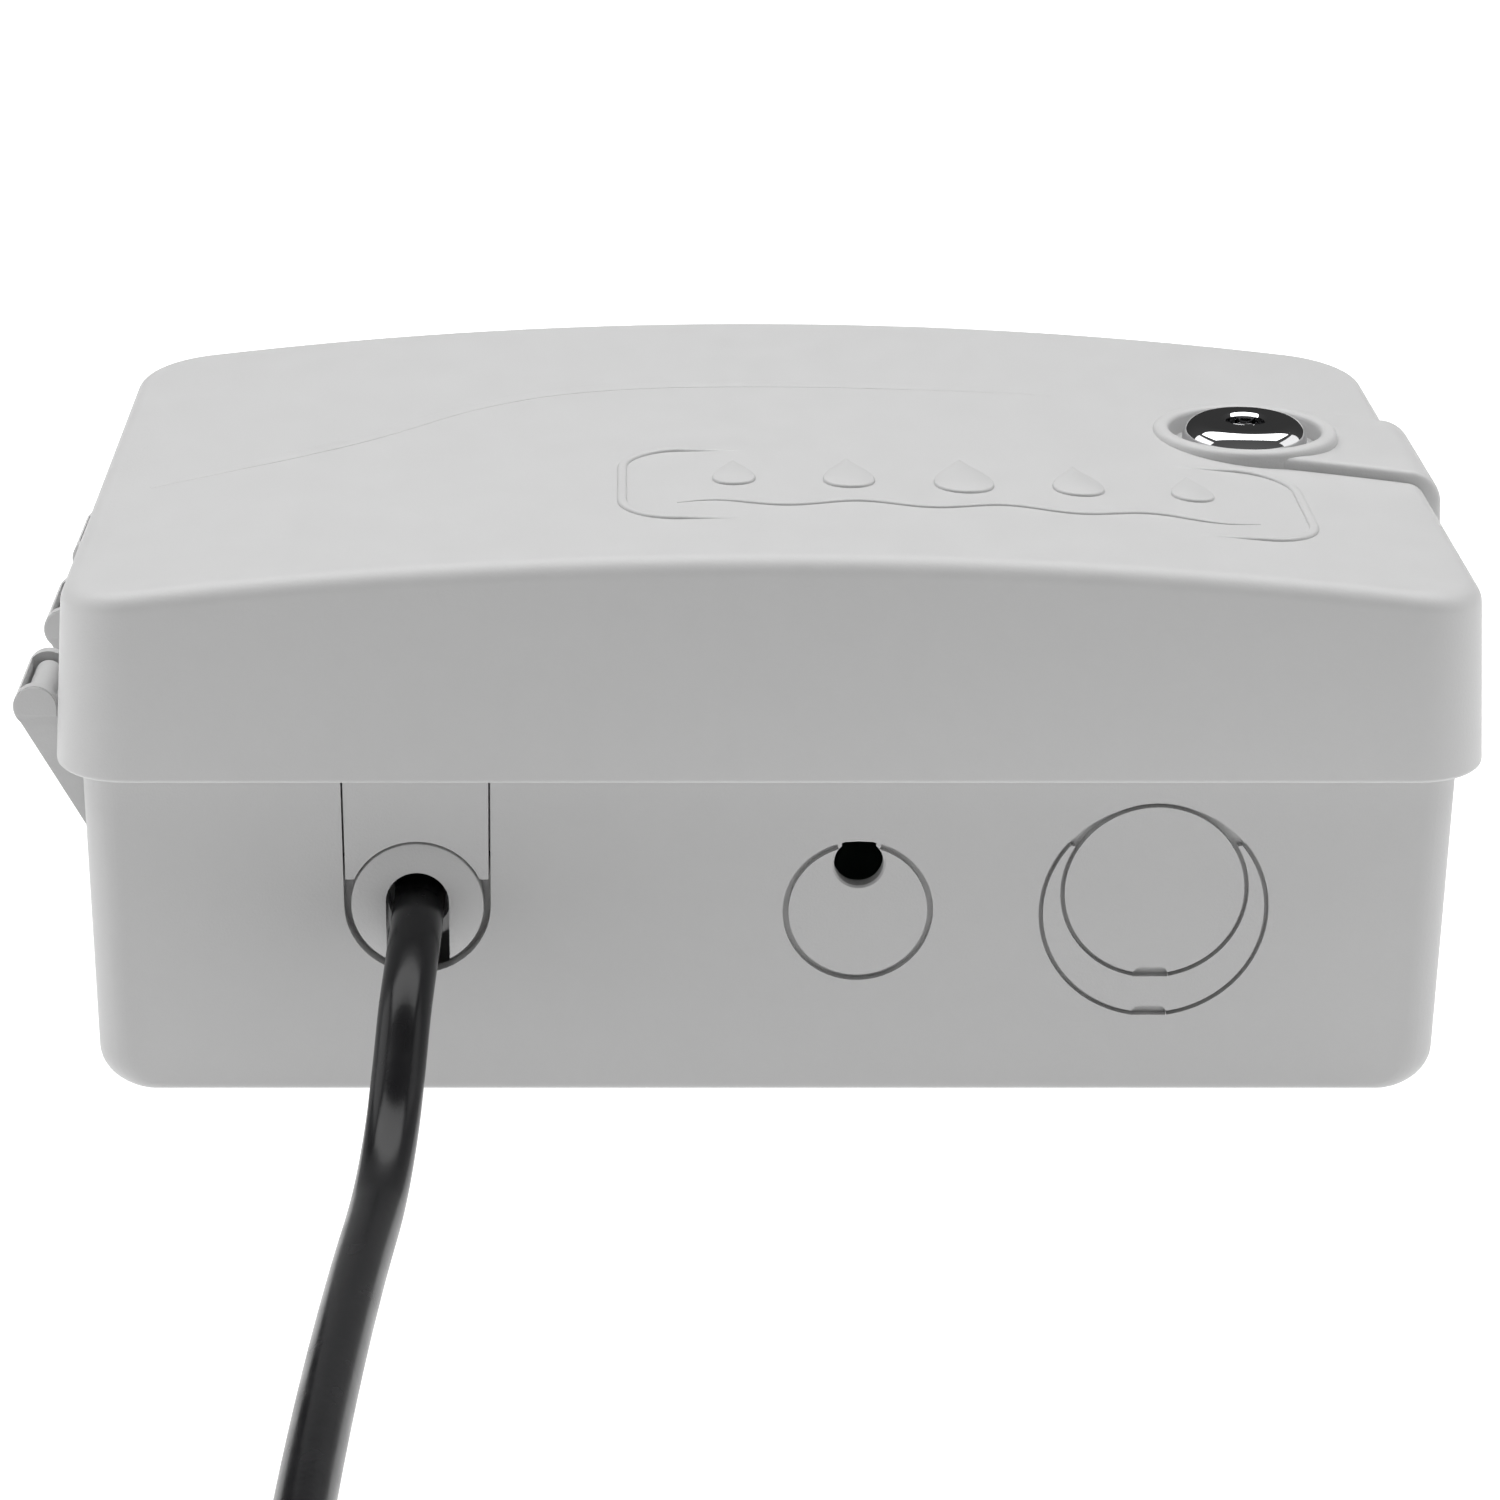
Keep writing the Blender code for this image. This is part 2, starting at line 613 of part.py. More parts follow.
def add_lid_knuckles(lid):
    for index, (y0, y1) in enumerate(HINGE_BRACKETS):
        inner0 = y0 + HINGE_CHEEK + 0.5
        inner1 = y1 - HINGE_CHEEK - 0.5
        middle = (inner0 + inner1) / 2
        barrel_mesh = cylinder_mesh("barrel", HINGE_BARREL_RADIUS, inner1 - inner0, 20)
        barrel = place(
            f"barrel_{index}", barrel_mesh, None, (HINGE_X, middle, HINGE_Z), "lid_hinge",
            turn=(90, 0, 0), helper=True,
        )
        arm_low = (HINGE_X, inner0, HINGE_Z - HINGE_BARREL_RADIUS)
        arm_high = (-LID_HALF_AT_RIM + 1.5, inner1, HINGE_Z - 0.1)
        arm = span_box(f"knuckle_arm_{index}", arm_low, arm_high, None, "lid_hinge", helper=True)
        join(lid, barrel, arm)
        bore_at = (HINGE_X, middle, HINGE_Z)
        name = f"knuckle_bore_{index}"
        drill(lid, name, HINGE_PIN_RADIUS + GAP, inner1 - inner0 + 2, bore_at, (90, 0, 0), "lid_hinge", 16)


def ring_outlines(outer_inset, inner_inset):
    """The two outlines of a band that follows the collar, given as distances outside the collar's middle."""
    half = COLLAR_HALF - COLLAR_THICK / 2
    near = COLLAR_INSET + COLLAR_THICK / 2
    far = BASE_DEPTH - near
    outlines = []
    for out, radius in ((outer_inset, 5.0), (inner_inset, 3.0)):
        outlines.append(rounded_rectangle(-half - out, half + out, near - out, far + out, radius))
    return outlines


def make_lid():
    lid = place("lid", lid_block_mesh("lid", 0.0, LID_RIM_Z), SHELL, (0, 0, 0), "lid_hinge")
    lock_boss = add_lock_seat(lid)
    cavity_mesh = lid_block_mesh("lid_cavity", -LID_WALL, LID_RIM_Z - 2, 10)
    cut(lid, place("lid_cavity", cavity_mesh, None, (0, 0, 0), "lid_hinge", helper=True))
    rib_outlines = ring_outlines(4.6, -0.9)
    rib = slab("seal_rib", rib_outlines, SEAL_RIB_Z, SEAL_RIB_Z + 1.8, None, "lid_hinge", helper=True)
    join(lid, rib, lock_boss)
    cut(lid, lock_disc("lock_recess", LOCK_RECESS_RADIUS, -LOCK_RECESS_DEPTH, 6.0))
    cut(lid, lock_disc("lock_bore", LOCK_BARREL_RADIUS + GAP, -8.0, 2.0, 24))
    add_lid_knuckles(lid)


def make_gasket():
    slab("lid_gasket", ring_outlines(1.5, -0.9), COLLAR_TOP + 0.5, SEAL_RIB_Z - GAP, RUBBER, "lid_hinge")


# ---------------------------------------------------------------- lock


def make_lock():
    keyway = LOCK_KEYWAY_RADIUS
    seat = -LOCK_RECESS_DEPTH + GAP
    barrel = LOCK_BARREL_RADIUS
    dome = [
        (keyway, 3.7), (7.2, 3.5), (8.5, 3.0), (9.5, 2.0), (10.05, 0.8), (LOCK_DOME_RADIUS, seat + 0.6),
        (LOCK_DOME_RADIUS, seat), (barrel, seat), (barrel, -16.0), (keyway, -16.0),
    ]
    turned("lock_housing", dome, CHROME, pivot="lock_frame")
    plug = [
        (0.0, 2.6), (1.7, 2.6), (1.7, 0.2), (LOCK_PLUG_RADIUS, 0.2), (LOCK_PLUG_RADIUS, -16.6),
        (2.6, -16.6), (2.6, CAM_TOP - CAM_THICK), (0.0, CAM_TOP - CAM_THICK),
    ]
    plug_object = turned("lock_plug", plug, BRASS, pivot="lock_axis", steps=24)
    drill(plug_object, "cam_screw_bore", 1.5, 12, (0, 0, CAM_TOP + 0.7), pivot="lock_axis", steps=16)
    nut = place("lock_nut", cylinder_mesh("lock_nut", 11.2, 3.6, 6), STEEL, (0, 0, -7.2), "lock_frame")
    cut(nut, lock_disc("nut_bore", barrel + GAP, -12.0, -2.0, 24))

    tip = arc((0, CAM_REACH - 5), 5.0, 0, 180, 8)
    root = arc((0, 0), 6.5, 180, 360, 10)
    square = [(-3.0, -3.0), (3.0, -3.0), (3.0, 3.0), (-3.0, 3.0)]
    cam_mesh = outline_mesh("lock_cam", [tip + root, square], CAM_THICK)
    place("lock_cam", cam_mesh, STEEL, (0, 0, CAM_TOP - CAM_THICK / 2), "lock_axis")

    head_z = CAM_TOP - CAM_THICK - GAP
    screw("cam_screw", (0, 0, head_z), 6.0, turn=(180, 0, 0), head_radius=4.5, pivot="lock_axis")


def make_strike():
    """The steel keeper that the cam swings under."""
    x1 = COLLAR_HALF - COLLAR_THICK - GAP
    outline = [
        (x1, 44.0), (x1, STRIKE_LIP_Z + 1.5), (89.5, STRIKE_LIP_Z + 1.5), (89.5, STRIKE_LIP_Z),
        (x1 - 1.5, STRIKE_LIP_Z), (x1 - 1.5, 44.0),
    ]
    strike = upright_slab("lock_strike", [outline], LOCK_Y - 9, LOCK_Y + 9, STEEL)
    for index, y in enumerate(STRIKE_SCREWS_Y):
        drill(strike, f"strike_hole_{index}", 1.4, 6, (x1, y, STRIKE_SCREW_Z), (0, 90, 0))
        screw(f"strike_screw_{index + 1}", (x1 - 1.5 - GAP, y, STRIKE_SCREW_Z), 2.6, turn=(0, -90, 0))


# ---------------------------------------------------------------- fasteners


def screw(name, at, length, turn=(0, 0, 0), head_radius=2.6, pivot="case"):
    """A pan-head screw with its head's underside at `at` and its shank below it, before it is turned."""
    shank = SCREW_SHANK_RADIUS
    profile = [
        (0.0, 1.7), (head_radius * 0.6, 1.6), (head_radius, 0.9), (head_radius, 0.0),
        (shank, 0.0), (shank, -length), (0.0, -length - 0.6),
    ]
    turned(name, profile, STEEL, at, pivot, turn, steps=10)


# ---------------------------------------------------------------- cord entry


def make_cord_gate():
    notch = BUSHING_RADIUS + 0.35
    low = 35.5 - GLAND_Z
    angle = math.degrees(math.asin(low / notch))
    half_low = SLOT_RADIUS - GAP
    half_high = SLOT_TOP_HALF - GAP
    top = COLLAR_TOP - GAP
    plate = (
        [(GLAND_X + half_high, top), (GLAND_X - half_high, top), (GLAND_X - half_low, 35.5)]
        + arc((GLAND_X, GLAND_Z), notch, 180 - angle, angle, 14)
        + [(GLAND_X + half_low, 35.5)]
    )
    gate = upright_slab("cord_gate", [plate], 0.0, WALL + 0.4, SHELL)
    notch = 13.6
    angle = math.degrees(math.asin((38.4 - GLAND_Z) / notch))
    flange = (
        [(GLAND_X + 13.7, top), (GLAND_X - 13.7, top), (GLAND_X - 13.7, 38.4)]
        + arc((GLAND_X, GLAND_Z), notch, 180 - angle, angle, 14)
        + [(GLAND_X + 13.7, 38.4)]
    )
    join(gate, upright_slab("gate_flange", [flange], WALL + GAP, 4.4, None, helper=True))


def make_cord_bushing():
    def rim(radius, steps):
        return arc((GLAND_X, GLAND_Z), radius, 0, 360 - 360 / steps, steps - 1)

    bushing = upright_slab("cord_bushing", [rim(BUSHING_RADIUS, 36)], 0.0, 3.4, SHELL)
    flange = upright_slab("bushing_flange", [rim(13.0, 36)], WALL + 0.7, 4.8, None, helper=True)
    sleeve = upright_slab("bushing_sleeve", [rim(8.0, 24)], 4.4, 10.0, None, helper=True)
    join(bushing, flange, sleeve)
    legs = arc((GLAND_X, ARCH_Z), ARCH_RADIUS, 0, 180, 12)
    arch = legs + [(GLAND_X - ARCH_RADIUS, 15.0), (GLAND_X + ARCH_RADIUS, 15.0)]
    bore = arc((GLAND_X, ARCH_Z), ARCH_RADIUS, 0, 180, 12) + arc((GLAND_X, 29.5), ARCH_RADIUS, 180, 360, 12)
    cut(bushing, upright_slab("bushing_arch", [arch], -1.0, WALL + 0.7, None, helper=True))
    cut(bushing, upright_slab("bushing_bore", [bore], -1.0, 12.0, None, helper=True))


def make_cord_clamp():
    clamp = span_box("cord_clamp", (GLAND_X - 13, 13.5, 29.7), (GLAND_X + 13, 21.5, 36.5), BLACK_PLASTIC)
    drill(clamp, "clamp_groove", CORD_RADIUS + GAP, 14, (GLAND_X, 17.5, 29.5), (90, 0, 0), steps=24)
    for index, side in enumerate((-1, 1)):
        drill(clamp, f"clamp_hole_{index}", 1.5, 12, (GLAND_X + side * 9, 17.5, 33.0))
        screw(f"cord_clamp_screw_{index + 1}", (GLAND_X + side * 9, 17.5, 36.8), 14.0)


def make_mains_lead():
    route = (
        (-53.9, 1.9, 29.5), (-53.9, 12, 29.5), (-53.9, 23, 29.5), (-55.5, 32, 30.0),
        (-59, 41, 31.0), (-62, 52.5, 31.5),
    )
    place("mains_lead", tube_mesh("mains_lead", smooth_route(route, 3), CORD_RADIUS), CORD_BLACK)


# ---------------------------------------------------------------- transformer


def make_transformer():
    x, y = TRANSFORMER_X, TRANSFORMER_Y
    foot = WALL + GAP
    core = span_box("transformer_core", (x - 24, y - 9, foot), (x + 24, y + 9, foot + 38), CORE_STEEL)
    for index, side in enumerate((-1, 1)):
        low = (x + min(side * 8, side * 16), y - 12, foot + 8)
        high = (x + max(side * 8, side * 16), y + 12, foot + 30)
        cut(core, span_box(f"core_window_{index}", low, high, None, helper=True))
    coil = span_box(
        "transformer_coil", (x - 15.7, y - 18, foot + 8.3), (x + 15.7, y + 18, foot + 29.7), COIL_TAPE,
        bevel=2.0, upright_only=True,
    )
    cut(coil, span_box("leg_opening", (x - 8.3, y - 9.3, 0), (x + 8.3, y + 9.3, 60), None, helper=True))
    top = foot + 38 + GAP
    strap = [
        (x - 33, 8.3), (x - 24.3, 8.3), (x - 24.3, top), (x + 24.3, top), (x + 24.3, 8.3), (x + 33, 8.3),
        (x + 33, 9.5), (x + 25.5, 9.5), (x + 25.5, top + 1.2), (x - 25.5, top + 1.2), (x - 25.5, 9.5),
        (x - 33, 9.5),
    ]
    bracket = upright_slab("transformer_bracket", [strap], y - 7, y + 7, STEEL)
    for index, side in enumerate((-1, 1)):
        drill(bracket, f"bracket_hole_{index}", 1.5, 6, (x + side * 29.5, y, 9))
        screw(f"transformer_screw_{index + 1}", (x + side * 29.5, y, 9.8), 5.0)


def make_secondary_lead():
    x, y = TRANSFORMER_X, TRANSFORMER_Y + 18.3 + 1.6
    route = (
        (x, y, 24), (x + 1, y + 2.5, 27), (x + 5, y + 5.5, 33), (x + 9, y + 6, 39), (x + 10, y + 6, 45.4),
    )
    place("secondary_lead", tube_mesh("secondary_lead", smooth_route(route, 2), 1.3, 2), LEAD_RED)


# ---------------------------------------------------------------- control panel


def make_panel():
    (x0, y0), (x1, y1) = PANEL_BOX
    outline = rounded_rectangle(x0, x1, y0, y1, 3.0, 3)
    panel = slab("control_panel", [outline], PANEL_TOP - PANEL_THICK, PANEL_TOP, PANEL_GREY)
    bottom = PANEL_TOP - PANEL_THICK
    for index, (x, y) in enumerate(BOARD_POSTS):
        low = BOARD_TOP + GAP
        high = bottom + 0.5
        boss(panel, f"board_post_{index}", 3.0, high - low, (x, y, (high + low) / 2))
        drill(panel, f"board_bore_{index}", 1.4, 14, (x, y, low))
    for index, (x, y) in enumerate(PANEL_POSTS):
        drill(panel, f"panel_hole_{index}", 1.5, 8, (x, y, PANEL_TOP))
    notch = span_box("strike_notch", (87.5, LOCK_Y - 11, 50), (110, LOCK_Y + 11, 70), None, helper=True)
    width, height = SCREEN_SIZE
    x, y = SCREEN_CENTRE
    ledge_low = (x - width / 2 - 2, y - height / 2 - 2, PANEL_TOP - 1.6)
    ledge_high = (x + width / 2 + 2, y + height / 2 + 2, PANEL_TOP + 2)
    ledge = span_box("window_ledge", ledge_low, ledge_high, None, helper=True, bevel=2.0, upright_only=True)
    opening_low = (x - width / 2, y - height / 2, 50)
    opening_high = (x + width / 2, y + height / 2, 70)
    opening = span_box("window_opening", opening_low, opening_high, None, helper=True)
    cut(panel, notch, ledge, opening)
    drill(panel, "dial_hole", 4.2, 10, (*DIAL_CENTRE, PANEL_TOP), steps=24)
    for name, x in button_places():
        hole_mesh = oval_mesh("button_hole", 6.5 + GAP, 8)
        cut(panel, place(f"{name}_hole", hole_mesh, None, (x, BUTTON_ROW_Y, PANEL_TOP), helper=True))
    slot_low = (SLIDER_CENTRE[0] - 5.6, SLIDER_CENTRE[1] - 2.4, 50)
    slot_high = (SLIDER_CENTRE[0] + 5.6, SLIDER_CENTRE[1] + 2.4, 70)
    cut(panel, span_box("slider_slot", slot_low, slot_high, None, helper=True))
    for index, (x, y) in enumerate(PANEL_POSTS):
        screw(f"panel_screw_{index + 1}", (x, y, PANEL_TOP + GAP), 12.0, head_radius=3.0)


def make_screen():
    width, height = SCREEN_SIZE
    x, y = SCREEN_CENTRE
    window_low = (x - width / 2 - 1.7, y - height / 2 - 1.7, PANEL_TOP - 1.3)
    window_high = (x + width / 2 + 1.7, y + height / 2 + 1.7, PANEL_TOP + 0.2)
    span_box("display_window", window_low, window_high, CLEAR, bevel=2.0, upright_only=True)
    low = (x - 40, y - 19, BOARD_TOP + GAP)
    high = (x + 40, y + 19, PANEL_TOP - PANEL_THICK - GAP)
    span_box("lcd_module", low, high, LCD, bevel=0.8)


def make_board():
    (x0, y0), (x1, y1) = BOARD_BOX
    outline = rounded_rectangle(x0, x1, y0, y1, 2.0, 2)
    board = slab("circuit_board", [outline], BOARD_TOP - BOARD_THICK, BOARD_TOP, BOARD_GREEN)
    for index, (x, y) in enumerate(BOARD_POSTS):
        drill(board, f"board_hole_{index}", 1.5, 6, (x, y, BOARD_TOP))
        screw(f"board_screw_{index + 1}", (x, y, BOARD_TOP - BOARD_THICK - GAP), 7.0, turn=(180, 0, 0))


def make_terminals():
    first = TERMINAL_FIRST_X - TERMINAL_PITCH / 2
    last = first + TERMINAL_COUNT * TERMINAL_PITCH
    low = (first, TERMINAL_Y - 6, BOARD_TOP + GAP)
    high = (last, TERMINAL_Y + 6, BOARD_TOP + 11)
    block = span_box("terminal_block", low, high, TERMINAL_GREEN)
    for index in range(TERMINAL_COUNT):
        x = TERMINAL_FIRST_X + index * TERMINAL_PITCH
        drill(block, f"screw_well_{index}", 2.6, 8, (x, TERMINAL_Y + 1, BOARD_TOP + 11), steps=12)
        entry_low = (x - 1.8, TERMINAL_Y - 8, BOARD_TOP + 1.8)
        entry_high = (x + 1.8, TERMINAL_Y - 2.6, BOARD_TOP + 5.4)
        cut(block, span_box(f"wire_entry_{index}", entry_low, entry_high, None, helper=True))


def make_dial():
    x, y = DIAL_CENTRE
    low = (x - 8, y - 8, BOARD_TOP + GAP)
    high = (x + 8, y + 8, BOARD_TOP + 7)
    encoder = span_box("dial_encoder", low, high, BLACK_PLASTIC, bevel=0.6)
    boss(encoder, "encoder_bush", 3.8, 6, (x, y, BOARD_TOP + 9), steps=24)
    drill(encoder, "shaft_hole", 2.8, 12, (x, y, BOARD_TOP + 10), steps=20)
    bottom = BOARD_TOP + 4.5
    shaft_mesh = cylinder_mesh("dial_shaft", 2.5, PANEL_TOP + 9 - bottom, 20)
    place("dial_shaft", shaft_mesh, STEEL, (x, y, (PANEL_TOP + 9 + bottom) / 2), "dial_axis")
    radius = DIAL_RADIUS
    profile = [
        (0.0, 13.0), (10.5, 13.0), (11.6, 12.2), (12.4, 5.0), (radius - 1.2, 3.2), (radius, 2.2),
        (radius, 0.0), (4.6, 0.0), (4.6, 3.0), (2.8, 3.0), (2.8, 9.6), (0.0, 9.6),
    ]
    turned("dial_knob", profile, KNOB, (x, y, PANEL_TOP + 0.5), "dial_axis", steps=30)


def button_places():
    return [(name, BUTTON_FIRST_X + BUTTON_PITCH * i) for i, name in enumerate(BUTTON_NAMES)]


def oval_mesh(name, radius, depth):
    """An upright disc a little longer in X than in Y."""
    bm = bmesh.new()
    add_cylinder(bm, radius, depth, 18)
    bmesh.ops.scale(bm, vec=(1.0, 0.72, 1.0), verts=bm.verts)
    return mesh_from(bm, name, 40)


def make_buttons():
    strip_low = (BUTTON_FIRST_X - 6, BUTTON_ROW_Y - 4.5, BOARD_TOP + GAP)
    strip_high = (BUTTON_FIRST_X + 4 * BUTTON_PITCH + 6, BUTTON_ROW_Y + 4.5, BOARD_TOP + 1.5)
    strip = span_box("button_switches", strip_low, strip_high, BLACK_PLASTIC)
    for name, x in button_places():
        button_at = (x, BUTTON_ROW_Y, PANEL_TOP - 2.2)
        button = place(name, oval_mesh(name, 6.5, 8.0), KEY, button_at, name + "_axis")
        button_flange = place(
            name + "_flange", oval_mesh("button_flange", 7.8, 1.4), None,
            (x, BUTTON_ROW_Y, PANEL_TOP - PANEL_THICK - 1.1), name + "_axis", helper=True,
        )
        join(button, button_flange)
        dome = place(
            name + "_dome", cylinder_mesh("switch_dome", 3.2, 3.4, 16, 2.4), None,
            (x, BUTTON_ROW_Y, BOARD_TOP + 2.3), helper=True,
        )
        join(strip, dome)


def make_sensor_switch():
    x, y = SLIDER_CENTRE
    body_low = (x - 8, y - 4, BOARD_TOP + GAP)
    body_high = (x + 8, y + 4, BOARD_TOP + 6)
    span_box("sensor_switch", body_low, body_high, STEEL, bevel=0.4)
    left = x - SLIDER_TRAVEL / 2
    low = (left - 2.4, y - 2.0, BOARD_TOP + 6 + GAP)
    high = (left + 2.4, y + 2.0, PANEL_TOP + 1.6)
    span_box("sensor_slider", low, high, BLACK_PLASTIC, "slider_axis", bevel=0.4)


def make_coin_cell():
    x, y = CELL_CENTRE
    holder_mesh = cylinder_mesh("cell_holder", 12.0, 4.6, 28)
    holder = place("cell_holder", holder_mesh, BLACK_PLASTIC, (x, y, BOARD_TOP + GAP + 2.3))
    drill(holder, "cell_well", 10.4, 6, (x, y, BOARD_TOP + 4.6), steps=28)
    place("coin_cell", cylinder_mesh("coin_cell", 10.0, 3.2, 28), STEEL, (x, y, BOARD_TOP + 3.5))


# ---------------------------------------------------------------- mains cord


def make_cord():
    place("mains_cord", tube_mesh("mains_cord", smooth_route(CORD_ROUTE, 2), CORD_RADIUS), CORD_BLACK)
    outer, inner = COIL_OUTER_RADIUS, COIL_INNER_RADIUS
    ring = [(outer, COIL_HEIGHT), (outer, 0.0), (inner, 0.0), (inner, COIL_HEIGHT)]
    turned("cord_coil", ring, CORD_BLACK, (*COIL_CENTRE, 0.0), steps=40)


def plug_section(x, half_width, half_height, round_off):
    outline = rounded_rectangle(-half_width, half_width, -half_height, half_height, round_off, 4)
    return [(x, y, z) for y, z in outline]


def make_plug():
    sections = [
        (0.0, 5.0, 5.0, 4.6), (14.0, 6.2, 6.2, 5.4), (20.0, 8.5, 8.0, 6.0), (25.0, 12.5, 11.2, 6.5),
        (33.0, 13.4, 12.0, 5.0), (48.0, 13.4, 12.0, 4.0), (50.0, 12.6, 11.2, 3.6),
    ]
    bm = bmesh.new()
    loft(bm, [plug_section(*section) for section in sections])
    place("plug_body", mesh_from(bm, "plug_body", 30), CORD_BLACK, PLUG_START)
    face = PLUG_START[0] + 50.0 + GAP
    y, z = PLUG_START[1:]
    contacts = span_box("plug_contacts", (face, y - 11, z - 10), (face + 1, y + 11, z + 8), BRASS)
    for index, side in enumerate((-1, 1)):
        low = (face + 0.5, y + side * 6.35 - 0.75, z - 0.2)
        high = (face + 17.0, y + side * 6.35 + 0.75, z + 6.2)
        join(contacts, span_box(f"blade_{index}", low, high, None, helper=True))
    pin = cylinder_mesh("ground_pin", 2.4, 20.5, 20)
    join(contacts, place("ground_pin", pin, None, (face + 10.7, y, z - 6.6), turn=(0, 90, 0), helper=True))


# ---------------------------------------------------------------- build

clear_scene()
PARTS = make_collection("irrigation_controller")
CUTTERS = make_collection("cutters")

SHELL = make_material("shell_grey", (0.56, 0.56, 0.56), 0.5)
PANEL_GREY = make_material("panel_grey", (0.30, 0.31, 0.32), 0.55)
BLACK_PLASTIC = make_material("black_plastic", (0.03, 0.03, 0.03), 0.5)
KNOB = make_material("knob_plastic", (0.06, 0.06, 0.07), 0.4)
KEY = make_material("key_rubber", (0.42, 0.44, 0.45), 0.7)
RUBBER = make_material("seal_rubber", (0.04, 0.04, 0.04), 0.85)
CORD_BLACK = make_material("cord_black", (0.02, 0.02, 0.02), 0.35)
STEEL = make_material("steel", (0.62, 0.62, 0.62), 0.35, 1.0)
CHROME = make_material("chrome", (0.85, 0.85, 0.86), 0.08, 1.0)
BRASS = make_material("brass", (0.72, 0.58, 0.32), 0.3, 1.0)
CORE_STEEL = make_material("core_steel", (0.28, 0.28, 0.29), 0.5, 0.8)
COIL_TAPE = make_material("coil_tape", (0.75, 0.60, 0.12), 0.5)
LEAD_RED = make_material("lead_red", (0.45, 0.05, 0.04), 0.5)
BOARD_GREEN = make_material("board_green", (0.03, 0.16, 0.07), 0.45)
TERMINAL_GREEN = make_material("terminal_green", (0.05, 0.28, 0.12), 0.5)
LCD = make_material("lcd_glass", (0.36, 0.42, 0.34), 0.2)
CLEAR = make_material("clear_window", (0.75, 0.78, 0.78), 0.1)

make_pivot("case", (0.0, 0.0, 0.0))
make_pivot("lid_hinge", (HINGE_X, 0.0, HINGE_Z), "case")
make_pivot("lock_frame", (LOCK_X, LOCK_Y, lid_top(LOCK_X, LOCK_Y)), "lid_hinge")
make_pivot("lock_axis", (LOCK_X, LOCK_Y, lid_top(LOCK_X, LOCK_Y)), "lid_hinge")
make_pivot("dial_axis", (*DIAL_CENTRE, PANEL_TOP), "case")
make_pivot("slider_axis", (*SLIDER_CENTRE, PANEL_TOP), "case")
for button_name, button_x in button_places():
    make_pivot(button_name + "_axis", (button_x, BUTTON_ROW_Y, PANEL_TOP), "case")

make_base()
make_hinge_pins()
make_lid()
make_gasket()
make_lock()
make_strike()
make_cord_gate()
make_cord_bushing()
make_cord_clamp()
make_mains_lead()
make_transformer()
make_secondary_lead()
make_panel()
make_screen()
make_board()
make_terminals()
make_dial()
make_buttons()
make_sensor_switch()
make_coin_cell()
make_cord()
make_plug()
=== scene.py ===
"""Irrigation controller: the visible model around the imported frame.

Lengths are in millimetres in the case's own coordinates, with X = 0 in the middle of the case's width,
Y = 0 on the outer face of the conduit wall and Z = 0 on its back. at() turns such a point into the frame's
metres.
"""

import math

import bmesh
import bpy
from mathutils import Matrix, Vector


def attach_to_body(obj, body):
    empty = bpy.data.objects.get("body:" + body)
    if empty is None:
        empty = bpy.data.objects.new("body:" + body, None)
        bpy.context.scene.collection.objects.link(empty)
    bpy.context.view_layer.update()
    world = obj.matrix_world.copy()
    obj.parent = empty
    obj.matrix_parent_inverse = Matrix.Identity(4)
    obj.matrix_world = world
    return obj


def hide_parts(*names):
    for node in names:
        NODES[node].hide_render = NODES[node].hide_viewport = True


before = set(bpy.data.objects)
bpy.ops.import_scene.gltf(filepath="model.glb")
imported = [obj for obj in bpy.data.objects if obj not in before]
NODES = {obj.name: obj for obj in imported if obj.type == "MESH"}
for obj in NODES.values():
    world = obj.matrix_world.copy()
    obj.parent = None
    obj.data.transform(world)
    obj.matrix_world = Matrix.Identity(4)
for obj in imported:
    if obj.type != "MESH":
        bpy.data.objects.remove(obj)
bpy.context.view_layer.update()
MM = 0.001
DATUM = Vector((2.25, -62.6, 0.0))


def at(point):
    return (Vector(point) + DATUM) * MM


# ---------------------------------------------------------------- camera, floor and light

CAMERA_AT, CAMERA_TILT = (-22.8, -585.3, 276.9), 20.67
SENSOR_WIDTH, FOCAL_PIXELS, PHOTO_PIXELS = 36.0, 4134, 1500
FLOOR_HALF, FLOOR_DROP = 4.0, 0.0002
FLOOR_ALBEDO, FLOOR_GLOW = 0.35, 1.0
WORLD_FRONT, WORLD_BEHIND = 0.12, 0.04
WHITE = (1.0, 1.0, 1.0, 1.0)

scene = bpy.context.scene
scene.view_settings.view_transform = "Standard"

camera = bpy.data.objects.new("camera", bpy.data.cameras.new("camera"))
scene.collection.objects.link(camera)
camera.location = at(CAMERA_AT)
camera.rotation_euler = (math.radians(90 - CAMERA_TILT), 0.0, 0.0)
camera.data.sensor_width = SENSOR_WIDTH
camera.data.lens = SENSOR_WIDTH * FOCAL_PIXELS / PHOTO_PIXELS
camera.data.shift_x = 0.0866
camera.data.shift_y = 0.0026
camera.data.clip_start = 0.01
camera.data.clip_end = 50.0
scene.camera = camera


def put(node, values):
    """Sets a node's unconnected inputs."""
    for socket, value in values.items():
        node.inputs[socket].default_value = value


def map_range(nodes, links, source, low, high, from_low, from_high):
    node = nodes.new("ShaderNodeMapRange")
    put(node, {"From Min": from_low, "From Max": from_high, "To Min": low, "To Max": high})
    links.new(source, node.inputs["Value"])
    return node.outputs["Result"]


